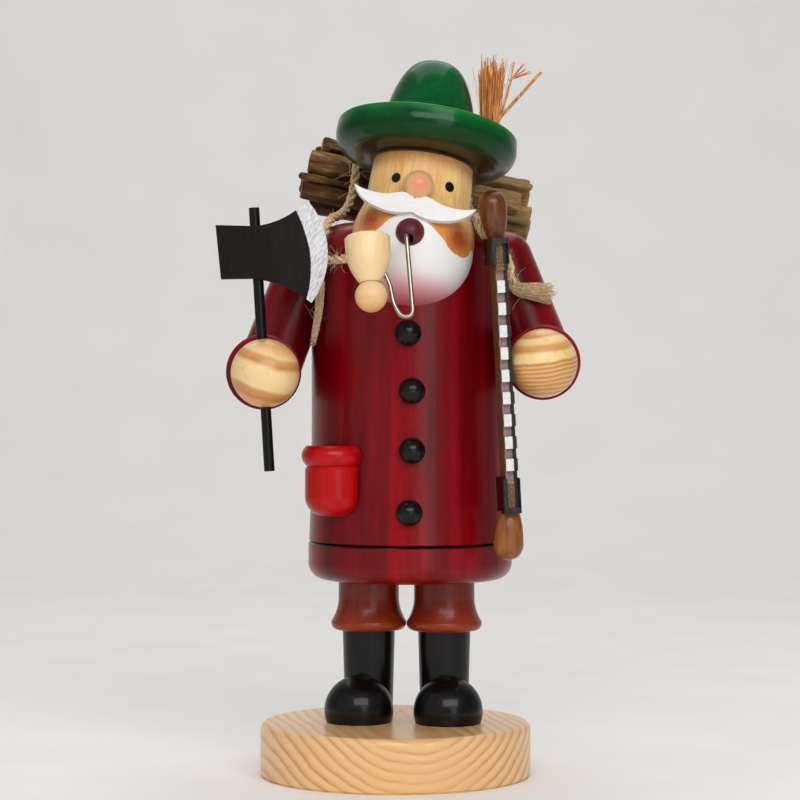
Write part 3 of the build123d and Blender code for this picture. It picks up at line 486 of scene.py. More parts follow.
def hand_material(side, bands):
    """Clear pine, its growth rings crossing the ball as the bands that the photograph shows."""
    shade = Shade("hand_pine_" + side, roughness=0.36, coat=0.25, coat_roughness=0.2)
    lean = (0, radians(hand_lean_deg[side]), 0)
    vector = shade.mapped(middle_of("hand_" + side), lean)
    x, y, z = shade.split(vector)
    waver = shade.clouds((9, 9, 9))
    bow = shade.times(shade.times(x, x), hand_band_bow)
    level = shade.plus(shade.plus(z, bow), shade.times(waver, hand_waver))
    share = shade.over(shade.plus(level, hand_band_reach), 2 * hand_band_reach)
    colour = shade.ramp(share, bands)
    fibres = grain(shade, vector, "X", 1.6)
    cloud = shade.noise(vector, scale=0.22)
    colour = shade.mix(shade.times(fibres, 0.22), colour, tint(244, 212, 156))
    colour = shade.mix(shade.times(shade.fade(cloud, 0.5, 0.75), 0.5), colour, tint(222, 158, 88))
    shade.cover(colour)
    shade.bump(fibres, strength=0.2, depth=0.03)
    return shade


def left_hand_material():
    pale = tint(236, 204, 148)
    orange = tint(186, 112, 42)
    bands = (
        (0.0, tint(206, 140, 78)),
        (0.16, tint(214, 154, 88)),
        (0.2, orange),
        (0.3, tint(206, 136, 68)),
        (0.34, pale),
        (0.6, pale),
        (0.66, orange),
        (0.74, tint(210, 146, 80)),
        (0.78, pale),
        (0.9, tint(216, 166, 96)),
        (1.0, tint(214, 156, 96)),
    )
    return hand_material("left", bands)


def right_hand_material():
    pale = tint(240, 206, 144)
    orange = tint(200, 130, 52)
    bands = [(0.0, orange)]
    for index in range(fine_line_count):
        start = fine_line_start + index * fine_line_step
        bands.append((start, tint(230, 178, 108)))
        bands.append((start + fine_line_dark, tint(174, 102, 44)))
    bands += [
        (0.56, pale),
        (0.66, pale),
        (0.7, orange),
        (0.76, tint(214, 150, 84)),
        (0.8, pale),
        (0.86, pale),
        (0.89, orange),
        (0.93, tint(216, 156, 92)),
        (1.0, pale),
    ]
    return hand_material("right", bands)


# The beard's upper edge: places round the head in degrees from the face, and heights on the head's axis
beard_edge = (
    (-180, -18.0),
    (-125, -17.0),
    (-98, -9.0),
    (-80, -3.2),
    (-66, -4.4),
    (-50, -4.0),
    (-35, -1.4),
    (-16, 2.6),
    (0, 3.6),
    (15, 1.2),
    (30, -1.8),
    (44, -4.5),
    (55, -4.7),
    (66, -3.6),
    (78, -1.0),
    (98, -7.0),
    (125, -17.0),
    (180, -18.0),
)
edge_low = -20.0
edge_span = 40.0
beard_edge_fade = (0.35, -0.05)
beard_reflection_heights = (-19.0, -9.0)
face_depths = (2.0, -3.0)
blush_heights = (11.0, 1.0)
blush_angles_deg = (6.0, 26.0)
hat_shadow_heights = (16.0, 20.5)
cheek_middles = ((-11.6, 2.0), (12.2, -0.2))
cheek_size = (4.6, 5.6)
eye_middles = ((-6.3, 13.8), (8.0, 13.4))
eye_size = (1.2, 1.4)
nose_tip = (0.3, 0.2)
nose_tip_size = (3.9, 3.9)


def round_spot(shade, x, z, middle, size):
    """The reach from a spot's middle, 1 at its edge."""
    across = shade.over(shade.minus(x, middle[0]), size[0])
    upward = shade.over(shade.minus(z, middle[1]), size[1])
    return shade.reach(across, upward)


def head_material():
    """Pale lacquered wood with airbrushed cheeks, a painted white beard, two painted eyes, a painted
    shadow under the hat and a painted reflection of the red coat low on the beard.
    """
    shade = Shade("painted_head", roughness=0.36, coat=0.15, coat_roughness=0.2, shine=0.25)
    vector = shade.mapped(head_middle, head_rotation())
    x, y, z = shade.split(vector)
    fibres = grain(shade, vector, "Z", 1.3)
    rings = shade.clouds((5, 5, 60))
    specks = shade.clouds((0.5, 0.5, 1.2), detail=4.0, roughness=0.7)
    share = shade.weigh(fibres, 0.6, rings)
    skin = shade.ramp(share, ((0.3, tint(212, 150, 74)), (0.68, tint(248, 213, 146))))
    front = shade.fade(y, *face_depths)
    angle = shade.times(shade.calculate("ARCTAN2", x, shade.times(y, -1.0)), 180 / pi)
    around = shade.over(shade.plus(angle, 180.0), 360.0)
    points = [((place + 180) / 360, (height - edge_low) / edge_span) for place, height in beard_edge]
    edge = shade.plus(shade.times(shade.curve(around, points), edge_span), edge_low)
    above = shade.minus(z, edge)
    beside = shade.fade(shade.unsigned(angle), *blush_angles_deg)
    blush = shade.times(shade.fade(above, *blush_heights), beside)
    blush = shade.times(blush, shade.plus(0.35, shade.times(specks, 0.9)))
    skin = shade.mix(blush, skin, tint(208, 124, 36))
    for middle in cheek_middles:
        glow = shade.fade(round_spot(shade, x, z, middle, cheek_size), 1.0, 0.1)
        glow = shade.times(glow, shade.plus(0.5, shade.times(specks, 0.8)))
        skin = shade.mix(shade.times(glow, front), skin, tint(150, 48, 16))
    # Painted shadow of the hat: the forehead darkens under the brim
    painted_hat_shadow = shade.times(shade.fade(z, *hat_shadow_heights), 0.75)
    skin = shade.mix(shade.times(painted_hat_shadow, shade.plus(specks, 0.3)), skin, tint(164, 102, 46))
    wavy = shade.plus(above, shade.times(shade.noise(vector, scale=0.9), 0.3))
    beard = shade.fade(wavy, *beard_edge_fade)
    # Painted reflection of the red coat: the beard turns pink towards its lower end
    stops = ((0.0, tint(182, 84, 94)), (0.5, tint(216, 160, 166)), (1.0, tint(232, 230, 230)))
    colour = shade.mix(beard, skin, shade.ramp(shade.fade(z, *beard_reflection_heights), stops))
    for middle in eye_middles:
        eye = shade.fade(round_spot(shade, x, z, middle, eye_size), 1.06, 0.94)
        colour = shade.mix(shade.times(eye, front), colour, tint(3, 2, 2))
    shade.cover(colour)
    lathe = shade.noise(shade.join(0, 0, z), scale=1.7, detail=3.0, roughness=0.7)
    ridges = shade.times(lathe, shade.plus(0.6, shade.times(beard, 2.4)))
    shade.bump(shade.plus(ridges, fibres), strength=0.5, depth=0.09)
    return shade


def nose_material():
    """A ball airbrushed pink at its tip."""
    shade = Shade("nose_pink", roughness=0.36, coat=0.25, coat_roughness=0.2)
    vector = shade.mapped(middle_of("nose"))
    x, y, z = shade.split(vector)
    fibres = grain(shade, vector, "Z", 1.4)
    warm = shade.ramp(fibres, ((0.3, tint(222, 172, 118)), (0.7, tint(232, 190, 138))))
    pink = shade.fade(round_spot(shade, x, z, nose_tip, nose_tip_size), 1.05, 0.1)
    shade.cover(shade.mix(pink, warm, tint(228, 132, 100)))
    shade.bump(fibres, strength=0.15, depth=0.02)
    return shade


def white_material():
    """White satin paint with faint brush lines along the moustache."""
    shade = Shade("moustache_white", roughness=0.34, coat=0.35, coat_roughness=0.2)
    vector = shade.mapped(head_middle, head_rotation())
    strokes = grain(shade, vector, "X", 1.4)
    shade.paint(strokes, ((0.3, tint(218, 216, 214)), (0.7, tint(230, 229, 228))))
    shade.bump(strokes, strength=0.2, depth=0.03)
    return shade


def mouth_material():
    pale = tint(104, 30, 36)
    return wood("mouth_bead_brown", pale, tint(64, 14, 22), roughness=0.4, coat=0.06, shine=0.3)


# Heights in the head's frame between which the pipe darkens downwards
toast_heights = (-17.0, -28.0)


def maple_material():
    """Pale turned maple, toasted orange towards its lower end."""
    shade = Shade("pipe_maple", roughness=0.42, coat=0.15, coat_roughness=0.3)
    vector = shade.mapped(head_middle, head_rotation())
    x, y, z = shade.split(vector)
    fibres = grain(shade, vector, "Z", 1.1)
    pale = shade.ramp(fibres, ((0.3, tint(232, 196, 142)), (0.7, tint(242, 212, 162))))
    toast = shade.times(shade.fade(z, *toast_heights), 0.9)
    shade.cover(shade.mix(toast, pale, tint(222, 158, 92)))
    shade.bump(fibres, strength=0.2, depth=0.02)
    return shade


def handle_material(name, pale, dark):
    """Glossy stained wood of a saw handle."""
    return wood(name, pale, dark, roughness=0.3, coat=0.2, shine=0.35, scale=1.0)


def clamp_material():
    """Near-black paint with light upright specks painted on as glints."""
    shade = Shade("saw_clamp_paint", roughness=0.34, coat=0.12, coat_roughness=0.16, shine=0.3)
    glint_specks = shade.clouds((0.35, 0.35, 1.5), detail=4.0, roughness=0.7)
    # Painted glints: light upright specks on the black paint
    shade.paint(glint_specks, ((0.5, tint(12, 8, 7)), (0.6, tint(32, 20, 14)), (0.7, tint(116, 92, 60))))
    shade.bump(glint_specks, strength=0.5, depth=0.08)
    return shade


def dowel_material():
    return wood("raw_dowel", tint(222, 186, 136), tint(186, 142, 92), roughness=0.7, coat=0.0)


# Hat: reaches from the head's axis and heights on it for the painted rim shade and highlight and the
# underside
rim_shade_reach = (20.0, 23.5)
rim_shade_heights = (head_top + 9.0, head_top + 4.0)
rim_highlight_reach = (20.5, 22.8)
rim_highlight_heights = (head_top + 7.6, head_top + 9.6)
underside_reach = (24.0, 19.0)
underside_heights = (head_top + 5.0, head_top + 2.2)


def hat_material():
    """Green gloss stain with a painted shade and highlight on the brim; brown lathe rings under the brim.
    """
    shade = Shade("hat_green_stain", roughness=0.28, coat=0.45, coat_roughness=0.12, shine=0.08)
    shade.shader_input("Coat IOR", stain_lacquer_ior)
    vector = shade.mapped(head_middle, head_rotation())
    x, y, z = shade.split(vector)
    reach = shade.reach(x, y)
    fibres = shade.noise(shade.mapped(head_middle, head_rotation(), (1.4, 14, 1.4)))
    cloud = shade.clouds((9, 9, 9))
    share = shade.weigh(fibres, 0.3, cloud)
    green = shade.ramp(share, ((0.25, tint(0, 50, 22)), (0.5, tint(0, 78, 36)), (0.78, tint(0, 100, 48))))
    painted_rim_shade = shade.times(shade.fade(reach, *rim_shade_reach), shade.fade(z, *rim_shade_heights))
    # Painted shade: the brim's lower band is darkened
    green = shade.mix(shade.times(painted_rim_shade, 0.8), green, tint(0, 44, 4))
    painted_rim_highlight = shade.times(shade.fade(reach, *rim_highlight_reach), shade.fade(z, *rim_highlight_heights))
    # Painted highlight: a lighter green along the brim's top edge
    green = shade.mix(shade.times(painted_rim_highlight, 0.6), green, tint(30, 124, 40))
    turning = shade.noise(shade.join(reach, 0, 0), scale=1.1, detail=4.0, roughness=0.7)
    brown = shade.ramp(turning, ((0.35, tint(8, 14, 4)), (0.65, tint(56, 42, 14))))
    under = shade.times(shade.fade(z, *underside_heights), shade.fade(reach, *underside_reach))
    shade.cover(shade.mix(under, green, brown))
    shade.bump(turning, strength=0.2, depth=0.03)
    return shade


# The axe head's middle above its handle's middle, and the paint line between its dark plate and its
# bright bit: heights and places on the plate
axe_middle_offset = 22.9
bit_line = (
    (-16.0, 11.6),
    (-13.5, 12.4),
    (-8.0, 13.8),
    (-2.2, 14.2),
    (4.0, 13.3),
    (10.6, 11.1),
    (14.0, 9.3),
)
bit_low = -16.0
bit_height = 30.0
bit_reach = 20.0
stroke_turn_deg = -60


def axe_material():
    """Dark satin plate with a silver-white bit put on in short strokes."""
    shade = Shade("axe_paint", roughness=0.45, shine=0.12)
    lean = radians(axe_lean_deg)
    along = Vector((-sin(lean), 0, cos(lean)))
    middle = Vector(middle_of("axe_handle")) + along * axe_middle_offset
    vector = shade.mapped(middle, axe_rotation())
    x, y, z = shade.split(vector)
    points = [((height - bit_low) / bit_height, place / bit_reach) for height, place in bit_line]
    height = shade.over(shade.minus(z, bit_low), bit_height)
    line = shade.times(shade.curve(height, points), bit_reach)
    turn = (0, radians(stroke_turn_deg), 0)
    strokes = shade.noise(shade.mapped(middle, turn, (1.6, 1.6, 0.2)), roughness=0.6)
    bit = shade.fade(shade.plus(shade.minus(x, line), shade.times(strokes, 0.5)), 0.1, 0.4)
    plate = shade.ramp(grain(shade, vector, "Z", 1.4), ((0.35, tint(13, 8, 7)), (0.7, tint(24, 17, 15))))
    stops = ((0.3, tint(164, 162, 166)), (0.5, tint(214, 214, 218)), (0.7, tint(234, 234, 238)))
    shade.cover(shade.mix(bit, plate, shade.ramp(strokes, stops)))
    shade.bump(shade.times(strokes, bit), strength=0.5, depth=0.08)
    return shade


# Saw: the white and the gullets lie left of the dark edge, between the clamps, and in front of the
# gullets' floor; the white is on the teeth's fronts
white_right = (0.5, 0.38)
teeth_top = (27.7, 27.5)
teeth_bottom = (-28.6, -28.2)
gullet_depths = (2.1, 1.9)
front_depths = (0.5, 0.3)
dark_edge = (0.42, 0.6)


def saw_material():
    """Brown stained blade with dark specks; the square teeth are white on the left of their fronts, and
    the gullets' floors get painted shade with a pink painted reflection.
    """
    shade = Shade("saw_paint", roughness=0.45, coat=0.05, coat_roughness=0.25, shine=0.3)
    specks = shade.noise(shade.mapped(), scale=2.6, detail=4.0, roughness=0.7)
    stops = ((0.35, tint(66, 44, 24)), (0.52, tint(116, 84, 50)), (0.7, tint(160, 128, 86)))
    brown = shade.ramp(specks, stops)
    x, y, z = shade.split(shade.mapped(saw_middle, saw_rotation()))
    ragged = shade.times(shade.minus(specks, 0.5), 0.5)
    inside = shade.fade(shade.plus(x, ragged), *white_right)
    between = shade.times(shade.fade(z, *teeth_top), shade.fade(z, *teeth_bottom))
    toothed = shade.fade(y, *gullet_depths)
    white = shade.ramp(specks, ((0.3, tint(196, 200, 200)), (0.6, tint(228, 230, 228))))
    # Painted shade with a pink painted reflection on the gullets' floor
    gullet_shade = shade.ramp(specks, ((0.3, tint(118, 88, 86)), (0.7, tint(168, 140, 138))))
    paint = shade.mix(shade.fade(y, *front_depths), gullet_shade, white)
    mask = shade.times(shade.times(inside, between), toothed)
    colour = shade.mix(mask, brown, paint)
    strip = shade.times(shade.fade(x, *dark_edge), toothed)
    shade.cover(shade.mix(strip, colour, tint(30, 18, 12)))
    shade.bump(specks, strength=0.3, depth=0.05)
    return shade


def wire_material():
    shade = Shade("wire_nickel", roughness=0.22)
    shade.shader_input("Metallic", 1.0)
    tone = shade.noise(shade.mapped(), scale=0.35)
    shade.paint(tone, ((0.3, tint(134, 128, 116)), (0.7, tint(160, 154, 142))))
    shade.shader_input("Roughness", shade.plus(0.26, shade.times(tone, 0.06)))
    return shade


def tray_material():
    shade = Shade("tray_brass", roughness=0.34)
    shade.shader_input("Metallic", 1.0)
    marks = shade.noise(shade.mapped(), scale=1.4, detail=3.0)
    shade.paint(marks, ((0.3, tint(170, 128, 66)), (0.7, tint(214, 178, 104))))
    shade.bump(marks, strength=0.2, depth=0.02)
    return shade


def incense_material():
    shade = Shade("incense_powder", roughness=0.9)
    crumbs = shade.noise(shade.mapped(), scale=3.0, detail=5.0, roughness=0.7)
    shade.paint(crumbs, ((0.3, tint(70, 50, 34)), (0.7, tint(112, 84, 58))))
    shade.bump(crumbs, strength=0.7, depth=0.1)
    return shade


def jute_material():
    shade = Shade("jute_fibre", roughness=0.8)
    tone = shade.noise(shade.mapped(), scale=1.6, detail=4.0, roughness=0.7)
    shade.paint(tone, ((0.3, tint(160, 124, 80)), (0.5, tint(224, 196, 150)), (0.72, tint(248, 230, 192))))
    shade.bump(tone, strength=0.5, depth=0.05)
    return shade


def straw_material():
    shade = Shade("dry_straw", roughness=0.5, coat=0.2, coat_roughness=0.3)
    tone = grain(shade, shade.mapped(), "Z", 1.2)
    shade.paint(tone, ((0.3, tint(132, 66, 14)), (0.5, tint(204, 126, 42)), (0.72, tint(236, 180, 92))))
    shade.bump(tone, strength=0.4, depth=0.04)
    return shade


# Bark, in the bundle's frame: painted light pales it to the right, and painted shade darkens it downwards
# and to the left
bark_light_x = (6.0, 26.0)
bark_shade_x = (-2.0, -16.0)
bark_shade_z = (4.0, -7.0)


def bark_material():
    """Furrowed brown bark, with painted light to the right and painted shade below and to the left; the
    cut ends show reddish pale wood.
    """
    shade = Shade("stick_bark", roughness=0.6, coat=0.06, coat_roughness=0.4, shine=0.22)
    turn = bundle_rotation()
    furrows = shade.noise(shade.mapped(bundle_middle, turn, (6, 0.75, 0.75)), detail=5.0, roughness=0.7)
    patches = shade.noise(shade.mapped(bundle_middle, turn, (10, 4, 4)))
    stops = (
        (0.36, tint(20, 9, 3)),
        (0.45, tint(76, 46, 16)),
        (0.54, tint(138, 98, 42)),
        (0.66, tint(206, 172, 112)),
    )
    bark = shade.ramp(shade.weigh(furrows, 0.55, patches), stops)
    x, y, z = shade.split(shade.mapped(bundle_middle, turn))
    # Painted light pales the bark to the right; painted shade darkens it downwards and to the left
    bark = shade.mix(shade.times(shade.fade(x, *bark_light_x), 0.4), bark, tint(190, 160, 108))
    bark = shade.mix(shade.times(shade.fade(z, *bark_shade_z), 0.55), bark, tint(54, 23, 9))
    bark = shade.mix(shade.times(shade.fade(x, *bark_shade_x), 0.35), bark, tint(66, 32, 10))
    normal = shade.node("TexCoord").outputs["Normal"]
    x, y, z = shade.split(normal)
    lean = radians(bundle_lean_deg)
    along = shade.minus(shade.times(x, cos(lean)), shade.times(z, sin(lean)))
    cut = shade.fade(shade.unsigned(along), 0.62, 0.8)
    rings = shade.clouds((0.6, 0.6, 0.6), detail=3.0)
    wood_end = shade.ramp(rings, ((0.3, tint(134, 84, 46)), (0.7, tint(198, 148, 96))))
    shade.cover(shade.mix(cut, bark, wood_end))
    shade.bump(furrows, strength=1.0, depth=0.5)
    return shade


def dress(shade, *names):
    """Gives CAD nodes a material."""
    for name in names:
        materials = nodes[name].data.materials
        materials.clear()
        materials.append(shade.material)


def both(stem):
    return stem + "_left", stem + "_right"


def smooth_way(points):
    """Places along the smooth line that a route in millimetres steers."""
    curve = bpy.data.curves.new("way", "CURVE")
    curve.dimensions = "3D"
    curve.resolution_u = 24
    spline = curve.splines.new("NURBS")
    spline.points.add(len(points) - 1)
    for knot, point in zip(spline.points, points):
        knot.co = (*[value * MM for value in point], 1)
    spline.order_u = 3
    spline.use_endpoint_u = True
    carrier = bpy.data.objects.new("way", curve)
    mesh = bpy.data.meshes.new_from_object(carrier)
    way = [vertex.co.copy() for vertex in mesh.vertices]
    bpy.data.objects.remove(carrier)
    return way


def even_steps(way, step):
    """The same line at even steps."""
    steps = [way[0]]
    left = step
    for start, end in zip(way, way[1:]):
        length = (end - start).length
        while length >= left > 0:
            start = start.lerp(end, left / length)
            steps.append(start.copy())
            length = (end - start).length
            left = step
        left -= length
    return steps


def travelling_frames(line):
    """A place, a side and an up direction at each point, turning as little as possible."""
    frames = []
    side = None
    for index, point in enumerate(line):
        before = line[max(index - 1, 0)]
        after = line[min(index + 1, len(line) - 1)]
        forward = (after - before).normalized()
        if side is None:
            side = forward.orthogonal().normalized()
        side = (side - forward * side.dot(forward)).normalized()
        frames.append((point, side, forward.cross(side)))
    return frames


def add_tube(solid, centres, frames, radii, sides):
    """Adds one closed tube round a row of centres; frames give its side directions."""
    vertices, faces = solid
    start = len(vertices)
    for centre, (_, side, up), radius in zip(centres, frames, radii):
        for corner in range(sides):
            angle = 2 * pi * corner / sides
            vertices.append(centre + (side * cos(angle) + up * sin(angle)) * radius)
    for ring in range(len(centres) - 1):
        for corner in range(sides):
            a = start + ring * sides + corner
            b = start + ring * sides + (corner + 1) % sides
            faces.append((a, b, b + sides, a + sides))
    faces.append(tuple(start + corner for corner in reversed(range(sides))))
    faces.append(tuple(len(vertices) - sides + corner for corner in range(sides)))


def new_piece(name, solid, material):
    mesh = bpy.data.meshes.new(name)
    vertices, faces = solid
    mesh.from_pydata(vertices, [], faces)
    mesh.update()
    mesh.shade_smooth()
    mesh.materials.append(material)
    piece = bpy.data.objects.new(name, mesh)
    bpy.context.scene.collection.objects.link(piece)
    return piece


def random_way(chance):
    return Vector((chance.uniform(-1, 1), chance.uniform(-1, 1), chance.uniform(-1, 1)))


def add_hair(solid, root, out, along, length, chance):
    """One loose fibre that leaves the rope and bends."""
    centres = []
    way = (along * 0.7 + out * 0.9).normalized()
    place = root.copy()
    for _ in range(hair_bends):
        centres.append(place.copy())
        way = (way + random_way(chance) * hair_sway).normalized()
        place = place + way * length / hair_bends
    radii = [hair_radius * MM * (1 - 0.5 * index / hair_bends) for index in range(hair_bends)]
    add_tube(solid, centres, travelling_frames(centres), radii, fibre_sides)


def opening(travelled, length, loose):
    """How far the lay has opened at a place on the rope: 0 where it holds, 1 at the rope's end."""
    return max(0.0, 1 - (length - travelled) / loose) if loose else 0.0


def add_yarn(solid, frames, strand, yarn, loose, flare, chance):
    """One yarn of a laid strand; its turns die out where the rope opens."""
    length = (len(frames) - 1) * rope_step
    ring_angle = 2 * pi * yarn / (yarns_in_strand - 1)
    yarn_reach = 0 if yarn == 0 else rope_radius * yarn_reach_share
    radius = rope_radius * chance.uniform(*yarn_radius_shares)
    phase = chance.uniform(-0.4, 0.4)
    centres = []
    radii = []
    for index, (point, side, up) in enumerate(frames):
        travelled = index * rope_step
        share = opening(travelled, length, loose)
        laid = travelled - loose * share * share / 2
        turn = 2 * pi * (laid / rope_pitch + strand / rope_strands)
        own = ring_angle + phase - turn * yarn_twist
        swell = (1 + flare * share) * (1 + 0.12 * noise.noise(point * 300 + Vector((strand, yarn, 3))))
        out = side * cos(turn) + up * sin(turn)
        second = side * cos(own) + up * sin(own)
        centres.append(point + (out * rope_radius / 2 + second * yarn_reach) * swell * MM)
        uneven = 1 + 0.25 * noise.noise(point * 700 + Vector((yarn, strand, 5)))
        radii.append(radius * uneven * (1 - 0.6 * share) * MM)
    add_tube(solid, centres, frames, radii, yarn_sides)


def add_fibre(solid, frames, loose, flare, chance):
    """One fine fibre of the opened end, lying beside its neighbours and ending at its own length."""
    length = (len(frames) - 1) * rope_step
    opened = int(loose / rope_step)
    first = len(frames) - 1 - opened + chance.randrange(opened // 2)
    angle = chance.uniform(0, 2 * pi)
    reach = rope_radius * sqrt(chance.random())
    bend = chance.uniform(-fibre_bend, fibre_bend)
    centres = []
    for index in range(first, len(frames) - chance.randrange(4), 2):
        point, side, up = frames[index]
        share = opening(index * rope_step, length, loose)
        turn = angle + bend * share
        out = side * cos(turn) + up * sin(turn)
        centres.append(point + out * reach * (1 + flare * share) * MM)
    way = (centres[-1] - centres[-2]).normalized()
    for _ in range(chance.randrange(3)):
        way = (way + random_way(chance) * fibre_sway).normalized()
        centres.append(centres[-1] + way * rope_step * MM)
    radii = [fibre_radius * MM * chance.uniform(0.7, 1.2)] * len(centres)
    add_tube(solid, centres, travelling_frames(centres), radii, fibre_sides)


def make_rope(name, route, material, node, seed, loose=0.0, flare=0.0, hairs=90):
    """Three laid strands along the route, with stray hairs; its last stretch opens into loose fibres."""
    chance = random.Random(seed)
    line = even_steps(smooth_way(route), rope_step * MM)
    frames = travelling_frames(line)
    solid = ([], [])
    for strand in range(rope_strands):
        for yarn in range(yarns_in_strand):
            add_yarn(solid, frames, strand, yarn, loose, flare, chance)
    for _ in range(fibre_count if loose else 0):
        add_fibre(solid, frames, loose, flare, chance)
    for _ in range(hairs):
        index = chance.randrange(2, len(line) - 2)
        point, side, up = frames[index]
        angle = chance.uniform(0, 2 * pi)
        out = side * cos(angle) + up * sin(angle)
        along = (line[index + 1] - line[index]).normalized() * chance.choice((-1, 1))
        root = point + out * rope_radius * hair_root_share * MM
        add_hair(solid, root, out, along, chance.uniform(*hair_lengths) * MM, chance)
    piece = new_piece(name, solid, material)
    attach(piece, "figure")
    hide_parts(node)


def ring_route(side_x, drift):
    """A rope's turn round the bundle, as in the CAD model."""
    reach = bundle_radius + rope_radius + rope_clearance
    corner_reach = reach / cos(radians(ring_step_deg / 2))
    slope = tan(radians(bundle_lean_deg))
    points = []
    for index in range(ring_corner_count):
        angle = radians(ring_start_deg - ring_step_deg * index)
        x = side_x + drift * index
        y = bundle_middle[1] - corner_reach * cos(angle)
        middle = bundle_middle[2] - (x - bundle_middle[0]) * slope
        points.append((x, y, middle + corner_reach * sin(angle)))
    return points


def tail_route():
    """The left rope's other end, lying round the chest."""
    reach = coat_radius + rope_radius + rope_clearance
    points = []
    for index in range(tail_steps + 1):
        share = index / tail_steps
        angle = radians(270 - tail_start_deg + (tail_start_deg - tail_end_deg) * share)
        x = figure_axis[0] + reach * cos(angle)
        y = figure_axis[1] + reach * sin(angle)
        points.append((x, y, tail_height))
    return points


def make_ropes(material):
    left = ring_route(ring_left_x, -ring_drift) + list(strap_left_route)
    right = ring_route(ring_right_x, ring_drift) + list(strap_right_route)
    make_rope("rope_left", left, material, "strap_left", 3, loose=15.0, flare=-0.4)
    make_rope("rope_right", right, material, "strap_right", 7, loose=13.0, flare=1.25, hairs=150)
    make_rope("rope_tail_left", tail_route(), material, "strap_tail_left", 11, hairs=30)


# Pipe wire: its route in the head's frame
wire_radius = 0.6
wire_step = 0.25
wire_sides = 20
wire_route = (
    (-1.2, 4.0, -4.0),
    (-1.2, -19.6, -4.0),
    (-1.2, -21.3, -4.0),
    (-0.9, -21.3, -5.6),
    (2.5, -21.3, -21.4),
    (3.3, -21.3, -25.0),
    (0.6, -21.3, -26.1),
    (-2.0, -21.3, -23.0),
    (-3.1, -21.3, -19.6),
    (-4.0, -21.3, -17.0),
    (-6.6, -21.3, -13.2),
)


def make_wire(material):
    """One bent wire from the mouth down, round and up into the bowl, with smooth bends."""
    place = head_place()
    line = even_steps(smooth_way([place @ Vector(point) for point in wire_route]), wire_step * MM)
    solid = ([], [])
    add_tube(solid, line, travelling_frames(line), [wire_radius * MM] * len(line), wire_sides)
    piece = new_piece("pipe_wire_bent", solid, material)
    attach(piece, "pipe")
    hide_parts("pipe_wire")


# Sticks: how finely the CAD sticks are remeshed, and how deep their furrows, knobs and chips are
stick_count = 11
stick_voxel = 0.5
stick_smoothings = 10
stick_swell = 0.02
furrow_depth = 0.3
knob_depth = 0.3
chip_depth = 0.16


def relief(place):
    """How far the bark stands out at a place in the bundle's directions, in millimetres."""
    furrow = noise.noise(Vector((place.x * 120, place.y * 700, place.z * 700)))
    knob = noise.noise(Vector((place.x * 170, place.y * 170, place.z * 170 + 7)))
    chip = noise.noise(Vector((place.x * 500, place.y * 500, place.z * 500 + 3)))
    return stick_swell - furrow_depth * furrow - knob_depth * knob - chip_depth * chip


def make_stick(number, material):
    """A stick of bark: the CAD stick remeshed finely and furrowed along its length."""
    node = "stick_" + str(number).zfill(2)
    piece = bpy.data.objects.new("branch_" + str(number).zfill(2), nodes[node].data.copy())
    bpy.context.scene.collection.objects.link(piece)
    remesh = piece.modifiers.new("fine", "REMESH")
    remesh.mode = "VOXEL"
    remesh.voxel_size = stick_voxel * MM
    rounding = piece.modifiers.new("round", "SMOOTH")
    rounding.factor = 0.5
    rounding.iterations = stick_smoothings
    graph = bpy.context.evaluated_depsgraph_get()
    mesh = bpy.data.meshes.new_from_object(piece.evaluated_get(graph))
    piece.modifiers.clear()
    piece.data = mesh
    back = bundle_rotation().to_matrix().transposed()
    for vertex in mesh.vertices:
        vertex.co += vertex.normal * relief(back @ vertex.co) * MM
    mesh.materials.clear()
    mesh.materials.append(material)
    mesh.shade_smooth()
    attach(piece, "figure")
    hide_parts(node)


# Straw tuft, as in the CAD model
tuft_plug_radius = 1.9
tuft_sunk = 1.5
straw_width = 0.6
straw_length = 27.2
straw_count = 110
stray_count = 22
straw_lean_deg = -4.8
straw_fan_deg = 4.8
straw_ragged_share = 0.2
straw_bends = 9
straw_sides = 4
straws_in_stem = 3
stem_lean_deg = 8.3
stem_foot_x = 0.2
stem_length = 21.2
fork_length = 6.2
fork_leans_deg = (2.0, 30.5, 45.5, 60.5)
stalk_length = 22.5
stalk_width = 1.15
stalk_foot_x = -1.45
stalk_foot_height = 5.2
stalk_lean_deg = 34.8
stalk_forward_deg = 4.0


def straw_way(lean_x_deg, lean_y_deg):
    return Vector((tan(radians(lean_x_deg)), tan(radians(lean_y_deg)), 1)).normalized()


def add_straw(solid, foot, way, length, width, chance, bow):
    """One bowed straw that narrows to its tip, in the tuft's own frame in millimetres."""
    sway = Vector((chance.uniform(-1, 1), chance.uniform(-1, 1), 0)) * bow
    centres = []
    radii = []
    for index in range(straw_bends):
        share = index / (straw_bends - 1)
        across = noise.noise(foot * 3 + Vector((share * 3, 0, 1)))
        outward = noise.noise(foot * 3 + Vector((0, share * 3, 5)))
        wander = Vector((across, outward, 0)) * 0.35 * share
        centres.append(foot + way * length * share + sway * sin(pi * share) * 0.5 + wander)
        radii.append(width / 2 * (1 - 0.45 * share))
    add_tube(solid, centres, travelling_frames(centres), radii, straw_sides)


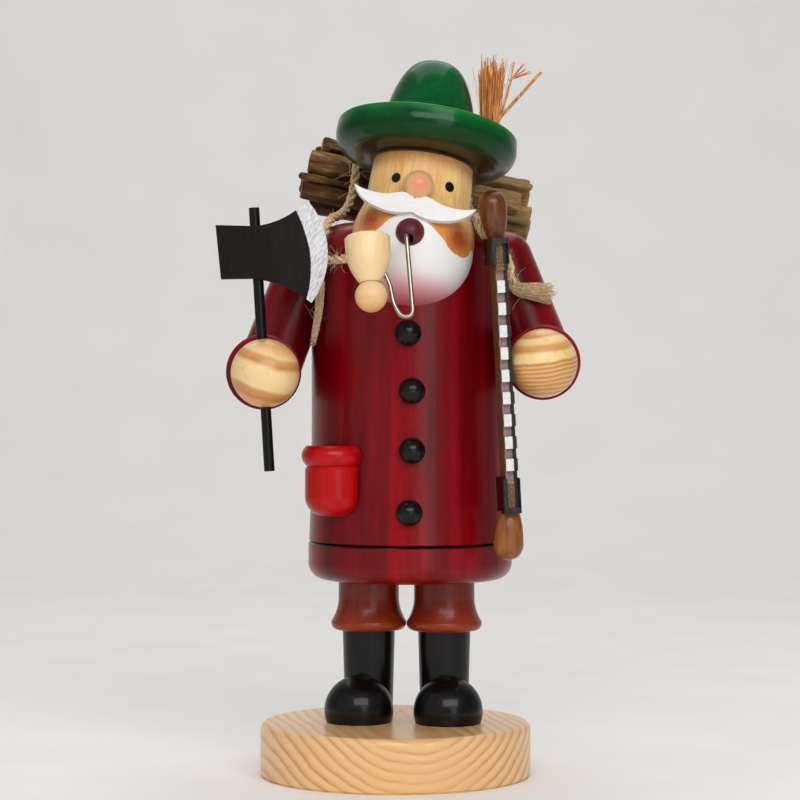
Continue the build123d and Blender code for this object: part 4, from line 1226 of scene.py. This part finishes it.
def make_tuft(material):
    chance = random.Random(5)
    place = head_place() @ Matrix.Translation(Vector(tuft_foot))
    solid = ([], [])
    golden = pi * (3 - sqrt(5))
    for index in range(straw_count):
        share = sqrt((index + 0.5) / straw_count)
        angle = index * golden
        spot = (tuft_plug_radius - straw_width / 2) * share
        foot = Vector((spot * cos(angle), spot * sin(angle), -tuft_sunk))
        lean_x = straw_lean_deg + straw_fan_deg * share * cos(angle) * chance.uniform(0.8, 1.2)
        lean_y = straw_fan_deg * share * sin(angle) * chance.uniform(0.8, 1.2)
        length = (straw_length + tuft_sunk) * (1 - straw_ragged_share * abs(sin(index)))
        width = straw_width * chance.uniform(0.7, 1.15)
        add_straw(solid, foot, straw_way(lean_x, lean_y), length, width, chance, 0.6)
    for _ in range(stray_count):
        foot = Vector((chance.uniform(-1, 1), chance.uniform(-1, 1), 0))
        way = straw_way(straw_lean_deg + chance.uniform(-13, 16), chance.uniform(-14, 14))
        length = straw_length * chance.uniform(0.5, 1.0)
        add_straw(solid, foot, way, length, straw_width * 0.4, chance, 1.6)
    foot = Vector((stem_foot_x, stalk_width - tuft_plug_radius, 0))
    fork = foot + straw_way(stem_lean_deg, 0) * stem_length
    for _ in range(straws_in_stem):
        way = straw_way(stem_lean_deg + chance.uniform(-1, 1), 0)
        add_straw(solid, foot, way, stem_length, stalk_width * 0.7, chance, 0.3)
    for lean in fork_leans_deg:
        for _ in range(straws_in_stem):
            way = straw_way(lean + chance.uniform(-4, 4), straw_fan_deg * chance.uniform(-1, 1))
            length = fork_length * chance.uniform(0.85, 1.1)
            add_straw(solid, fork - way * straw_width, way, length, straw_width * 0.8, chance, 0.2)
    foot = Vector((stalk_foot_x, stalk_width - tuft_plug_radius, stalk_foot_height))
    way = straw_way(stalk_lean_deg, -stalk_forward_deg)
    add_straw(solid, foot, way, stalk_length, stalk_width * 1.1, chance, 0.2)
    way = straw_way(stalk_lean_deg - 1, -stalk_forward_deg)
    add_straw(solid, foot, way, stalk_length * 0.96, stalk_width * 0.6, chance, 0.2)
    vertices, faces = solid
    world = [(place @ vertex) * MM for vertex in vertices]
    piece = new_piece("straw_tuft", (world, faces), material)
    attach(piece, "figure")
    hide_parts("hat_tuft")


def dress_nodes():
    buttons = ["button_" + str(number) for number in range(1, 5)]
    brown = handle_material("saw_handle_brown", tint(120, 62, 24), tint(64, 29, 11))
    golden = handle_material("saw_handle_golden", tint(168, 100, 40), tint(96, 50, 18))
    dress(base_material(), "base_disc")
    dress(black_material(), *both("boot_toe"), *both("boot_shaft"), "axe_handle", *buttons)
    dress(clamp_material(), "saw_clamp_top", "saw_clamp_bottom")
    dress(trouser_material(), *both("trouser_leg"))
    dress(coat_material(), "lower_coat", "coat_body", *both("upper_sleeve"), *both("fore_sleeve"))
    dress(pocket_material(), "pocket")
    dress(left_hand_material(), "hand_left")
    dress(right_hand_material(), "hand_right")
    dress(axe_material(), "axe_head")
    dress(saw_material(), "saw_blade")
    dress(brown, "saw_handle_top")
    dress(golden, "saw_handle_bottom")
    dress(head_material(), "head")
    dress(nose_material(), "nose")
    dress(white_material(), "moustache")
    dress(mouth_material(), "mouth_bead")
    dress(wire_material(), "pipe_wire", "tray_tack_left", "tray_tack_right")
    dress(maple_material(), "pipe_bowl", "pipe_knob")
    dress(hat_material(), "hat")
    dress(dowel_material(), *both("leg_dowel"), *both("shoulder_dowel"), "hat_dowel")
    dress(tray_material(), "ember_tray")
    dress(incense_material(), "incense_cone")


def make_camera():
    data = bpy.data.cameras.new("camera")
    data.sensor_width = sensor_width
    data.lens = sensor_width * focal_pixels / image_size
    data.shift_y = (axis_row - image_size / 2) / image_size
    data.clip_end = clip_end_metres
    camera = bpy.data.objects.new("camera", data)
    camera.location = [value * MM for value in camera_place]
    camera.rotation_euler = (pi / 2, 0, 0)
    bpy.context.scene.collection.objects.link(camera)
    bpy.context.scene.camera = camera


def add_lamp(name, place, width, height, power):
    data = bpy.data.lights.new(name, "AREA")
    data.shape = "RECTANGLE"
    data.size = width
    data.size_y = height
    data.energy = power
    lamp = bpy.data.objects.new(name, data)
    lamp.location = place
    lamp.rotation_euler = (Vector(lamp_target) - Vector(place)).to_track_quat("-Z", "Y").to_euler()
    bpy.context.scene.collection.objects.link(lamp)


def backdrop_material():
    shade = Shade("backdrop_paper", roughness=0.9)
    tone = shade.clouds((40, 40, 40))
    shade.paint(tone, ((0.3, tint(240, 238, 236)), (0.7, tint(244, 242, 240))))
    return shade


def make_stage():
    """A pale floor that curves up into a backdrop, and soft lamps."""
    profile = [(floor_front, 0.0)]
    for index in range(bend_steps + 1):
        angle = pi / 2 * index / bend_steps
        profile.append((bend_start + bend_radius * sin(angle), bend_radius * (1 - cos(angle))))
    profile.append((bend_start + bend_radius, backdrop_height))
    vertices = [Vector((x, y, z)) for y, z in profile for x in (-floor_half_width, floor_half_width)]
    faces = [(2 * i, 2 * i + 1, 2 * i + 3, 2 * i + 2) for i in range(len(profile) - 1)]
    floor = new_piece("backdrop", (vertices, faces), backdrop_material().material)
    for lamp in lamps:
        add_lamp(*lamp)
    world = bpy.data.worlds.new("studio")
    world.use_nodes = True
    background = world.node_tree.nodes["Background"]
    background.inputs["Color"].default_value = (1, 1, 1, 1)
    background.inputs["Strength"].default_value = world_strength
    bpy.context.scene.world = world
    bpy.context.scene.view_settings.view_transform = "Standard"


make_camera()
make_stage()
dress_nodes()
make_ropes(jute_material().material)
make_wire(nodes["pipe_wire"].data.materials[0])
make_tuft(straw_material().material)
bark = bark_material().material
for number in range(1, stick_count + 1):
    make_stick(number, bark)
